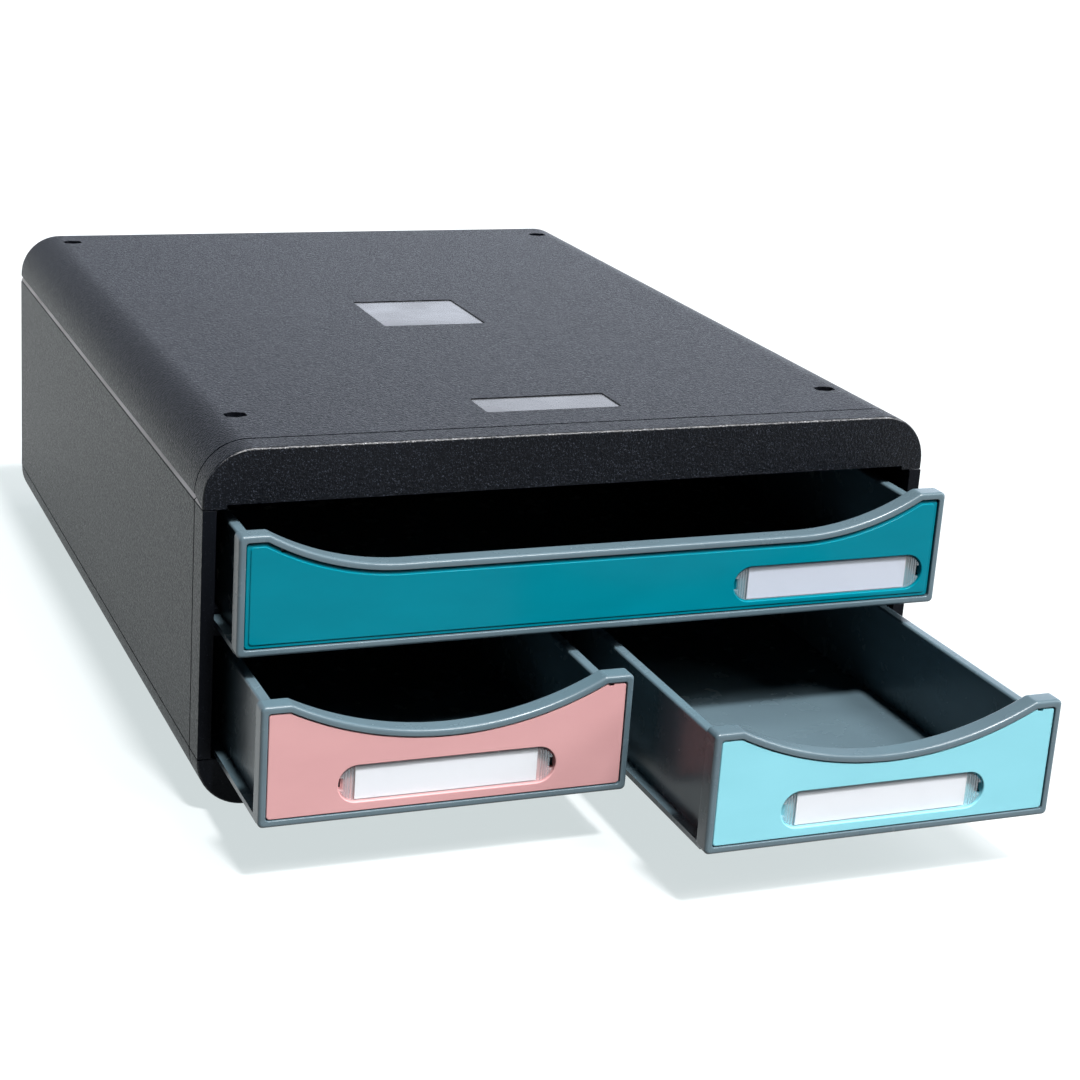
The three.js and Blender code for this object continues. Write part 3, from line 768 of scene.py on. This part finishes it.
def ledge_cutter(side):
    """A V that leaves a sloping strip along the cover's lower side edge and runs out in front."""
    bm = bmesh.new()
    edge = side * (housing_half + overrun)

    def draw(cut, depth):
        """The V at one depth: level below, sloping in above, as deep as its cut."""
        bottom = (edge, ledge_land - overrun)
        inner = (side * (housing_half - cut), ledge_land + cut)
        return outline(bm, bottom, [inner, (edge, ledge_land + cut + ledge_roof), bottom], depth)

    closed_loft(bm, draw, [
        (ledge_tip, edge_round),
        (ledge_depth, groove_front + groove_width / 2),
        (ledge_depth, housing_depth + overrun),
    ])
    return bm


# %% [markdown]
# The cover comes first. Everything that is open in it is taken out of the solid form in one
# go: the hollow, the keyholes, both ledges, both fields and the low middle of the fascia. Then
# the ribs and the blind cups are joined on. They start inside its skin, so that they merge.

# %% Top cover
rib_thickness = 1.8 * mm
cover_ribs = 4
cover_rib_height = 4 * mm


def ribs_across(bm, places, low, high, front, back):
    """Thin upright ribs that run from front to back, one at each place in X."""
    for x in places:
        box(bm, (x - rib_thickness / 2, front, low), (x + rib_thickness / 2, back, high))


fascia_cut = bmesh.new()
box(fascia_cut, (corner_lip - housing_half, -overrun, -overrun),
    (housing_half - corner_lip, shell_wall + overrun, fascia_lift))
cuts = [shell_hollow(cover_height), *keyhole_cutters(cover_height)]
cuts += [ledge_cutter(-1), ledge_cutter(1), fascia_cut]
cuts += [field_cutter(field, cover_height - field_depth, cover_height + overrun)
         for field in (large_field, small_field)]
cover = combine(shell_body(cover_height), "DIFFERENCE", cuts)
ribs = bmesh.new()
rib_step = 2 * housing_half / (cover_ribs + 1)
skin_low = cover_height - shell_wall
rib_places = [-housing_half + rib_step * (index + 1) for index in range(cover_ribs)]
ribs_across(ribs, rib_places, skin_low - cover_rib_height, skin_low + shell_wall / 2,
            shell_wall / 2, housing_depth - shell_wall / 2)
cups = [keyhole_cup(x, y, skin_low) for x, y in keyholes]
cover = combine(cover, "UNION", [ribs, *cups])
place_in(cover, (0, housing_front, cover_low.z))
cover_piece = make_piece(cover, "cover_shell", "housing", housing_finish,
                         ["top_cover"])

# %% [markdown]
# Some faces of the cover have a finish of their own. Each test below looks at where a face
# lies and which way it points. A normal's parts are shares of 1, so a face that slopes halfway
# between out and up has two parts of about 0.7.

# %% Finishes by place
half_slope = 0.5
slope_slack = 0.1
edge_share = 0.4


def on_ledge(face):
    """The sloping strip faces out and up, close above the cover's lower edge."""
    near_edge = face.center.z < cover_low.z + ledge_depth + ledge_land + ledge_roof
    slanted = abs(abs(face.normal.x) - face.normal.z) < slope_slack
    return near_edge and slanted and face.normal.z > half_slope


def in_keyhole(face):
    """The walls of the keyholes and the cups below them lie within reach of their middles."""
    middle = face.center
    spans = [math.hypot(middle.x - x, middle.y - (housing_front + y)) for x, y in keyholes]
    below_top = middle.z < cover_high.z - field_depth / 2
    return min(spans) < keyhole_slot[0] / 2 + cup_wall and below_top


def in_groove(face):
    """The groove behind the front edge."""
    behind = face.center.y - housing_front - groove_front
    return -weld_distance < behind < groove_width + weld_distance


def on_front_edge(face):
    """The middle of the round between the cover's top and its front."""
    at_edge = face.center.y < housing_front + edge_round
    return at_edge and face.normal.y < -edge_share and face.normal.z > edge_share


def in_dark(face):
    """Keyholes, and the groove behind the front edge."""
    return in_keyhole(face) or in_groove(face)


# Painted highlight on the sloping strip along the lower side edges.
second_finish(cover_piece, strip_highlight_finish, on_ledge)
# Painted highlight: the middle of the front edge's round.
second_finish(cover_piece, edge_highlight_finish, on_front_edge)
# Painted shade: the keyholes, their cups and the groove.
second_finish(cover_piece, painted_shade_finish, in_dark)

# %% [markdown]
# The two sunk fields in the top are smooth where the rest is grained. They carry nothing here.
# Each is a thin plate with a bevelled rim, laid in its field, so that it can be polished.

# %% Bare fields
field_gap = 0.08 * mm
field_lift = 0.25 * mm
field_bevel = 0.12 * mm


def field_plate(name, field):
    """A thin plate on the floor of a field, with a bevelled upper rim."""
    low = cover_height - field_depth
    bm = field_cutter(field, low, low + field_lift, field_gap)
    middle = low + field_lift / 2
    top = [edge for edge in bm.edges if all(end.co.z > middle for end in edge.verts)]
    bmesh.ops.bevel(bm, geom=top, offset=field_bevel, segments=2, profile=0.5, affect="EDGES",
                    material=-1)
    place_in(bm, (0, housing_front, cover_low.z))
    return make_piece(bm, name, "housing", field_finish)


field_plate("large_bare_field", large_field)
field_plate("small_bare_field", small_field)

# %% [markdown]
# The base is drawn like the cover, open side down, and turned over when it is finished. On
# each side it has two rails for a lower drawer, one wall of the slot that holds the divider,
# and low ribs across. The rails stand a little above its edge, so the drawer runs on them.

# %% Base tray
rail_inset = 24 * mm
rail_ends = (9.2 * mm, 334.8 * mm)
divider_slot = 1.5 * mm
slot_height = 5 * mm
cross_ribs = 3
narrow_low, narrow_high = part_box("right_tray")
narrow_half = (narrow_high.x - narrow_low.x) / 2
narrow_centre = (narrow_high.x + narrow_low.x) / 2

base_skin = base_height - shell_wall
rails = bmesh.new()
ends = (shell_wall / 2, housing_depth - shell_wall / 2)
for side in (-1, 1):
    shifts = (rail_inset - narrow_half, narrow_half - rail_inset)
    places = [side * narrow_centre + shift for shift in shifts]
    ribs_across(rails, places, 0, base_skin + shell_wall / 2, *ends)
    ribs_across(rails, places, -rail_lift, base_skin, *rail_ends)
    slot_x = side * (divider_slot + rib_thickness / 2)
    ribs_across(rails, [slot_x], base_skin - slot_height, base_skin + shell_wall / 2, *ends)
    reach = sorted((slot_x, side * (narrow_centre + narrow_half - rail_inset)))
    for index in range(cross_ribs):
        y = (index + 1) * housing_depth / (cross_ribs + 1)
        box(rails, (reach[0], y - rib_thickness / 2, base_skin - slot_height),
            (reach[1], y + rib_thickness / 2, base_skin + shell_wall / 2))
openings = [shell_hollow(base_height), *keyhole_cutters(base_height)]
base = combine(shell_body(base_height), "DIFFERENCE", openings)
base = combine(base, "UNION", [rails])
bmesh.ops.transform(base, matrix=Matrix.Rotation(math.pi, 4, "Y"), verts=base.verts)
place_in(base, (0, housing_front, base_top))
base_piece = make_piece(base, "base_shell", "housing", housing_finish,
                        ["base_tray"])
nearly_straight = 0.9


def faces_front(face):
    """Points nearly straight to the front."""
    return face.normal.y < -nearly_straight


def at_front(face):
    """Front ends, and the groove close behind them."""
    return faces_front(face) or in_groove(face)


# Painted shade: the base's front faces and its groove.
second_finish(base_piece, painted_shade_finish, at_front)

# %% [markdown]
# ## Flat panels
# The side panels and the inner walls are flat plates whose true shape is already in the frame.
# What the frame lacks is the small round that every moulded edge has, and that catches a line
# of light. So each gets a merged copy with a narrow bevel, and the frame's own mesh stays as
# it is. The side panels' front ends, the shelf and the divider get a smoother, darker finish:
# painted shade.

# %% Softened copies
panel_edge = 0.3 * mm
flat_angle = math.radians(1)
bevel_angle = math.radians(40)


def softened_copy(node, name, finish, width):
    """A copy of a CAD node with merged corners, flat faces made whole and soft edges."""
    bm = bmesh.new()
    bm.from_mesh(frame["nodes"][node].data)
    bmesh.ops.remove_doubles(bm, verts=bm.verts, dist=weld_distance)
    bmesh.ops.dissolve_limit(bm, angle_limit=flat_angle, verts=bm.verts, edges=bm.edges)
    body = frame["nodes"][node]["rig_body"]
    piece = make_piece(bm, name, body, finish, [node])
    edge = piece.modifiers.new("soft_edges", "BEVEL")
    edge.width = width
    edge.segments = 2
    edge.limit_method = "ANGLE"
    edge.angle_limit = bevel_angle
    piece.modifiers.move(len(piece.modifiers) - 1, 0)
    return piece


for side in ("left", "right"):
    wall_piece = softened_copy(f"{side}_side_panel", f"{side}_side_wall", housing_finish,
                               panel_edge)
    # Painted shade: the side panels' front ends.
    second_finish(wall_piece, painted_shade_finish, at_front)
softened_copy("back_panel", "back_wall", housing_finish, panel_edge)
# Painted shade: the shelf and the divider inside.
softened_copy("middle_shelf", "shelf_plate", painted_shade_finish, panel_edge)
softened_copy("centre_divider", "divider_wall", painted_shade_finish, panel_edge)

# %% [markdown]
# ## Feet
# A foot is a turned part: a pad with a rounded rim and a hollow underside groove, a stem, and
# two wings that lock above the base's skin. Half its profile is spun once round the axis.

# %% Foot pads
foot_radius = 7.5 * mm
foot_round = 0.8 * mm
stem_radius = 2.2 * mm
sole_hollow = (3.2 * mm, 0.5 * mm)
sole_edge = 3.7 * mm
pad_gap = 0.3 * mm
wing = (0.8 * mm, 3.7 * mm, 1.6 * mm)


def foot_profile(height, top):
    """Points (radius, height) from the middle of the sole to the middle of the stem's top."""
    rim = [(foot_radius - inwards, along) for inwards, along in round_steps(foot_round, 4)]
    sole = [(0, sole_hollow[1]), sole_hollow, (sole_edge, 0), *rim]
    return [*sole, (foot_radius, height), (stem_radius, height), (stem_radius, top), (0, top)]


for corner in ("front_left", "front_right", "back_left", "back_right"):
    low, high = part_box(f"foot_{corner}")
    pad = bmesh.new()
    turned(pad, foot_profile(base_low.z - pad_gap, high.z))
    wings = bmesh.new()
    box(wings, (-wing[0], -wing[1], high.z - wing[2]), (wing[0], wing[1], high.z))
    pad = combine(pad, "UNION", [wings])
    place_in(pad, ((low.x + high.x) / 2, (low.y + high.y) / 2, 0))
    make_piece(pad, f"foot_pad_{corner}", "housing", rubber_finish,
               [f"foot_{corner}"])

# %% [markdown]
# ## Drawer fronts
# All the fronts share one outline: square below, a flat shoulder at each top corner and a
# scoop between them for the fingers. The wide front's scoop has a flat middle. The frame, the
# insert and their gaps all follow this outline, drawn in by different amounts.

# %% Front outline
front_thickness = 7.2 * mm
front_round = 1.1 * mm
corner_radius = 1.8 * mm
least_corner = 1.1 * mm
shoulder_width = 10.2 * mm
shoulder_round = 2.5 * mm
border = 2.4 * mm
border_edge = 0.3 * mm
wide_scoop = (12.6 * mm, 47 * mm)
narrow_scoop_depth = 13 * mm
corner_steps = 5
shoulder_steps = 4
scoop_steps = 26


def front_of(name, scoop_depth, scoop_run=None, notch_side=1):
    """Measures a drawer's front in the frame and adds its scoop."""
    low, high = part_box(f"{name}_tray")
    lens_low, lens_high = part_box(f"{name}_label_lens")
    half = (high.x - low.x) / 2
    run = scoop_run or half - shoulder_width
    centre = (low.x + high.x) / 2
    return SimpleNamespace(
        name=name, body=f"{name}_drawer", half=half, height=high.z - low.z, length=high.y - low.y,
        place=(centre, low.y, low.z), scoop_depth=scoop_depth,
        flat_half=half - shoulder_width - run,
        scoop_radius=(run * run + scoop_depth * scoop_depth) / (2 * scoop_depth),
        label=((lens_low.x + lens_high.x) / 2 - centre, (lens_low.z + lens_high.z) / 2 - low.z),
        notch_side=notch_side)


def front_ring(bm, front, inset, depth):
    """The outline of a front at one depth, drawn in by an inset."""
    half, low, high = front.half - inset, inset, front.height - inset
    corner = max(corner_radius - inset, least_corner)
    shoulder = max(shoulder_round - inset, least_corner)
    arc_z = front.height - front.scoop_depth + front.scoop_radius
    radius = front.scoop_radius + inset
    shoulder_z = high - shoulder
    reach = math.sqrt((radius + shoulder) ** 2 - (arc_z - shoulder_z) ** 2)
    slope = math.asin(reach / (radius + shoulder))
    x = front.flat_half + reach
    quarter = math.pi / 2
    strokes = [
        (-half, high - corner),
        (-half + corner, high - corner, quarter, corner_steps),
        (-x, high),
        (-x, shoulder_z, slope, shoulder_steps),
        (-front.flat_half, arc_z, -slope, scoop_steps),
        (x - reach, arc_z - radius),
        (front.flat_half, arc_z, -slope, scoop_steps),
        (x, shoulder_z, slope, shoulder_steps),
        (half - corner, high),
        (half - corner, high - corner, quarter, corner_steps),
        (half, low + corner),
        (half - corner, low + corner, quarter, corner_steps),
        (-half + corner, low),
        (-half + corner, low + corner, quarter, corner_steps),
    ]
    if front.flat_half < weld_distance:
        del strokes[5]
    return outline(bm, (-half, low + corner), strokes, depth)


fronts = [
    front_of("wide", *wide_scoop, notch_side=-1),
    front_of("left", narrow_scoop_depth),
    front_of("right", narrow_scoop_depth),
]
for front in fronts:
    sizes = [round(side / mm, 1) for side in (2 * front.half, front.height)]
    print(f"{front.name} front in mm: {sizes}")

# %% [markdown]
# ## Label windows
# Each insert has a blind window with round ends. A ring for it is a bar with half-circle ends,
# grown or shrunk about the label's middle.

# %% Label outline
label_size = (75 * mm, 12.8 * mm)
label_end_steps = 18


def label_ring(bm, front, grow, depth):
    """The outline of a label window at one depth, grown all round by an amount."""
    radius = label_size[1] / 2 + grow
    straight = (label_size[0] - label_size[1]) / 2
    x, z = front.label
    strokes = [
        (x - straight, z, math.pi, label_end_steps),
        (x + straight, z + radius),
        (x + straight, z, math.pi, label_end_steps),
        (x - straight, z - radius),
    ]
    return outline(bm, (x - straight, z - radius), strokes, depth)


# %% [markdown]
# ## Trays
# A drawer's tray and the frame of its front are one moulding. The frame is lofted: down the
# insert's pocket, over the front border, round the outside and into the hollow behind. The
# tray is an upright section with runner flanges, thin walls and wide rolled rims, carried to
# the back, where a wall closes it. All of it is joined into one skin.

# %% Tray sizes
pocket_depth = 2.3 * mm
skin_back = 5.2 * mm
label_pocket_depth = 4.2 * mm
label_pocket_grow = 0.9 * mm
floor_thickness = 2 * mm
flange = (0.6 * mm, 1.9 * mm)
wall_inset = 4.4 * mm
wall = 1.8 * mm
rim_drop = 5.1 * mm
rim = (4 * mm, 2.2 * mm)
rim_round = 0.9 * mm
lug_run = (8 * mm, 4 * mm)
lug_rise = (4.5 * mm, 9.1 * mm)


def front_frame(front):
    """The moulded frame of a front, with its insert pocket, label pocket and back hollow."""
    bm = bmesh.new()
    bends = round_steps(front_round, 5)
    lip = round_steps(border_edge, 3)
    stations = [(border, pocket_depth)]
    stations += [(border - inwards, along) for inwards, along in reversed(lip)][:-1]
    stations += [(border - border_edge, 0)]
    stations += [(inwards, along) for inwards, along in bends]
    stations += [(inwards, front_thickness - along) for inwards, along in reversed(bends)]
    stations += [(border - border_edge, front_thickness), (border, front_thickness - border_edge)]
    stations += [(border, skin_back)]
    draw = partial(front_ring, bm, front)
    draw_label = partial(label_ring, bm, front, label_pocket_grow)
    loft(bm, draw, stations)
    loft(bm, draw_label, [(pocket_depth,), (label_pocket_depth,)])
    plate_with_hole(bm, draw(*stations[0]), draw_label(pocket_depth))
    cap(bm, draw_label(label_pocket_depth))
    cap(bm, draw(*stations[-1]))
    return bm


def tray_section(front):
    """The strokes of a tray's upright section, from its bottom left corner."""
    out, face = front.half - flange[0], front.half - wall_inset
    inner, lip = face - wall, face - rim[0]
    top = front.height - rim_drop
    under, bend = top - rim[1], top - rim_round
    quarter = math.pi / 2
    left = [
        (-out, flange[1]), (-face, flange[1]), (-face, bend),
        (-face + rim_round, bend, quarter, 5), (-lip - rim_round, top),
        (-lip - rim_round, bend, quarter, 5), (-lip, under), (-inner, under),
        (-inner, floor_thickness),
    ]
    right = [
        (inner, floor_thickness), (inner, under), (lip, under), (lip, bend),
        (lip + rim_round, bend, quarter, 5), (face - rim_round, top),
        (face - rim_round, bend, quarter, 5), (face, flange[1]), (out, flange[1]), (out, 0),
    ]
    return (-out, 0), [*left, *right, (-out, 0)]


def tray_parts(front):
    """The closed bars and blocks that join the frame: the section, the back wall and lugs."""
    start, strokes = tray_section(front)
    trough = bmesh.new()
    prism(trough, start, strokes, (label_pocket_depth + skin_back) / 2, front.length)
    inside = front.half - wall_inset - wall / 2
    top = front.height - rim_drop
    back = bmesh.new()
    box(back, (-inside, front.length - wall, 0), (inside, front.length, top - rim_round))
    back_rim = bmesh.new()
    box(back_rim, (-inside, front.length - rim[0], top - rim[1]), (inside, front.length, top))
    lugs = []
    for side in (-1, 1):
        lug = bmesh.new()
        across = sorted((side * inside, side * (front.half - flange[0])))
        box(lug, (across[0], front.length - lug_run[0], lug_rise[0]),
            (across[1], front.length - lug_run[1], lug_rise[1]))
        lugs.append(lug)
    return [trough, back, back_rim, *lugs]


# %% [markdown]
# The same steps make all three trays, because each reads its own size from the frame.

# %% Trays
for front in fronts:
    tray = combine(front_frame(front), "UNION", tray_parts(front))
    place_in(tray, front.place)
    make_piece(tray, f"{front.name}_tray_moulding", front.body, tray_finish,
               [f"{front.name}_tray"])

# %% [markdown]
# ## Coloured inserts
# An insert is a glossy plate clipped into the frame with a hairline gap all round. Its face
# rolls over at the rim and into the label window, which is a blind pan. The wide insert's face
# stands a rounded step above a narrow strip along its edge. Each insert has a small notch in
# its upper edge, where a tip can be set to prise it out.

# %% Inserts
insert_front = 0.4 * mm
insert_back = 2.0 * mm
insert_inset = 2.7 * mm
insert_round = 0.35 * mm
window_round = 0.4 * mm
pan_inside = 3.3 * mm
pan_back = 3.9 * mm
pan_wall = 0.6 * mm
face_margin = 1.3 * mm
notch = (1.9 * mm, 0.8 * mm)
notch_inset = {"wide": 15 * mm, "left": 8.1 * mm, "right": 8.1 * mm}
clip_slot = (1.5 * mm, 4.2 * mm)


def insert_body(front, stepped):
    """The plate of an insert with its rolled rim and its window pan. A stepped one has a raised
    face."""
    bm = bmesh.new()
    rolled = [*reversed(round_steps(insert_round, 4))]
    levels = [(insert_inset, insert_front)]
    if stepped:
        levels = [(insert_inset, insert_front + insert_round),
                  (insert_inset + face_margin, insert_front)]
    stations = [(insert_inset, insert_back)]
    for inset, face in levels:
        stations += [(inset + inwards, face + along) for inwards, along in rolled]
    draw = partial(front_ring, bm, front)
    draw_window = partial(label_ring, bm, front)
    window = [(grow, insert_front + along) for grow, along in round_steps(window_round, 6)]
    window.append((0, pan_inside))
    pan = [(pan_wall, insert_back), (pan_wall, pan_back)]
    loft(bm, draw, stations)
    loft(bm, draw_window, window)
    loft(bm, draw_window, pan)
    plate_with_hole(bm, draw(*stations[-1]), draw_window(*window[0]))
    plate_with_hole(bm, draw(*stations[0]), draw_window(*pan[0]))
    cap(bm, draw_window(*window[-1]))
    cap(bm, draw_window(*pan[-1]))
    return bm


def insert_cuts(front):
    """The prising notch in the top edge, and the slots at the window's ends for the lens clips."""
    reach = front.half - notch_inset[front.name]
    arc_z = front.height - front.scoop_depth + front.scoop_radius
    slope = (front.scoop_radius + insert_inset) ** 2 - (reach - front.flat_half) ** 2
    edge = min(front.height - insert_inset, arc_z - math.sqrt(slope))
    x = front.notch_side * reach
    nick = bmesh.new()
    box(nick, (x - notch[0] / 2, 0, edge - notch[1]),
        (x + notch[0] / 2, insert_back + overrun, front.height))
    cutters = [nick]
    label_x, label_z = front.label
    for side in (-1, 1):
        end = label_x + side * (label_size[0] / 2 + pan_wall / 2)
        inner = end - side * (clip_slot[0] + pan_wall / 2)
        across = sorted((end, inner))
        cutter = bmesh.new()
        box(cutter, (across[0], insert_back, label_z - clip_slot[1] / 2),
            (across[1], pan_back + overrun, label_z + clip_slot[1] / 2))
        cutters.append(cutter)
    return cutters


insert_finishes = {"wide": ("insert_teal", teal_finish), "left": ("insert_pink", pink_finish),
                   "right": ("insert_aqua", aqua_finish)}
for front in fronts:
    slot, finish = insert_finishes[front.name]
    plate = combine(insert_body(front, front.name == "wide"), "DIFFERENCE", insert_cuts(front))
    place_in(plate, front.place)
    make_piece(plate, f"{front.name}_insert_plate", front.body, finish,
               [f"{front.name}_insert"])

# %% [markdown]
# ## Windows and cards
# The clear window is a thin moulded cap with round ends and fine upright ribs there for grip.
# It holds a paper card against the pan. The window's face is drawn as rings, and its ribs,
# end notches and the space behind it are cut out. The card is a sheet with a slight bow.

# %% Lens
lens_gap = 0.3 * mm
lens_forward = 0.7 * mm
lens_round = 0.35 * mm
lens_face = 0.6 * mm
rib_count = 4
rib_pitch = 0.95 * mm
rib_cut = (0.42 * mm, 0.25 * mm)
lens_notch = (1.6 * mm, 4.4 * mm)
card_play = 0.2 * mm


def lens_cap(front):
    """A label window, with the space for its card, its end notches and its ribs cut out."""
    low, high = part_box(f"{front.name}_label_lens")
    face, back = (depth - front.place[1] - lens_forward for depth in (low.y, high.y))
    card_low, card_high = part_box(f"{front.name}_label_card")
    slot_half = (card_high.x - card_low.x) / 2 + card_play
    bm = bmesh.new()
    draw = partial(label_ring, bm, front)
    rolled = round_steps(lens_round, 3)
    stations = [(-lens_gap - inwards, face + along) for inwards, along in rolled]
    closed_loft(bm, draw, [*stations, (-lens_gap, back)])
    x, z = front.label
    tall = label_size[1]
    hollow = bmesh.new()
    box(hollow, (x - slot_half, face + lens_face, z - tall),
        (x + slot_half, back + overrun, z + tall))
    details = bmesh.new()
    for side in (-1, 1):
        end = x + side * (label_size[0] / 2 - lens_gap)
        across = sorted((end - side * lens_notch[0], end + side * overrun))
        box(details, (across[0], face - overrun, z - lens_notch[1] / 2),
            (across[1], back + overrun, z + lens_notch[1] / 2))
        for index in range(rib_count):
            rib = x + side * (slot_half + (index + 1) * rib_pitch)
            box(details, (rib - rib_cut[0] / 2, face - overrun, z - tall),
                (rib + rib_cut[0] / 2, face + rib_cut[1], z + tall))
    return combine(bm, "DIFFERENCE", [hollow, details])


def in_rib_cut(face):
    """The floors of the cuts between the ribs face the front and are narrow."""
    return faces_front(face) and face.area < rib_cut[0] * label_size[1]


for front in fronts:
    window = lens_cap(front)
    place_in(window, front.place)
    window_piece = make_piece(window, f"{front.name}_window", front.body, lens_finish,
                              [f"{front.name}_label_lens"])
    second_finish(window_piece, rib_shade_finish, in_rib_cut)

# %% [markdown]
# A paper card never lies quite flat. The sheet is a grid with enough columns to bend, and each
# point moves back by the square of its distance from the middle, which is a gentle arc.

# %% Cards
card_bow = 0.1 * mm


def paper_card(front):
    """A thin sheet, slightly bowed, cut to the card's box in the frame."""
    low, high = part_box(f"{front.name}_label_card")
    sheet = bmesh.new()
    bmesh.ops.create_grid(sheet, x_segments=24, y_segments=4, size=0.5)
    stretch = Matrix.Diagonal((high.x - low.x, 1, high.z - low.z, 1))
    stand_up = stretch @ Matrix.Rotation(math.pi / 2, 4, "X")
    bmesh.ops.transform(sheet, matrix=stand_up, verts=sheet.verts)
    half = (high.x - low.x) / 2
    for corner in sheet.verts:
        corner.co.y += card_bow * (corner.co.x / half) ** 2
    thickness = high.y - low.y - card_bow
    grown = bmesh.ops.extrude_face_region(sheet, geom=sheet.faces[:])["geom"]
    far = [part for part in grown if isinstance(part, bmesh.types.BMVert)]
    bmesh.ops.translate(sheet, verts=far, vec=(0, thickness, 0))
    place_in(sheet, ((low.x + high.x) / 2, low.y - lens_forward, (low.z + high.z) / 2))
    return sheet


for front in fronts:
    paper = wide_card_shade_finish if front.name == "wide" else card_finish
    make_piece(paper_card(front), f"{front.name}_paper_card", front.body, paper,
               [f"{front.name}_label_card"])
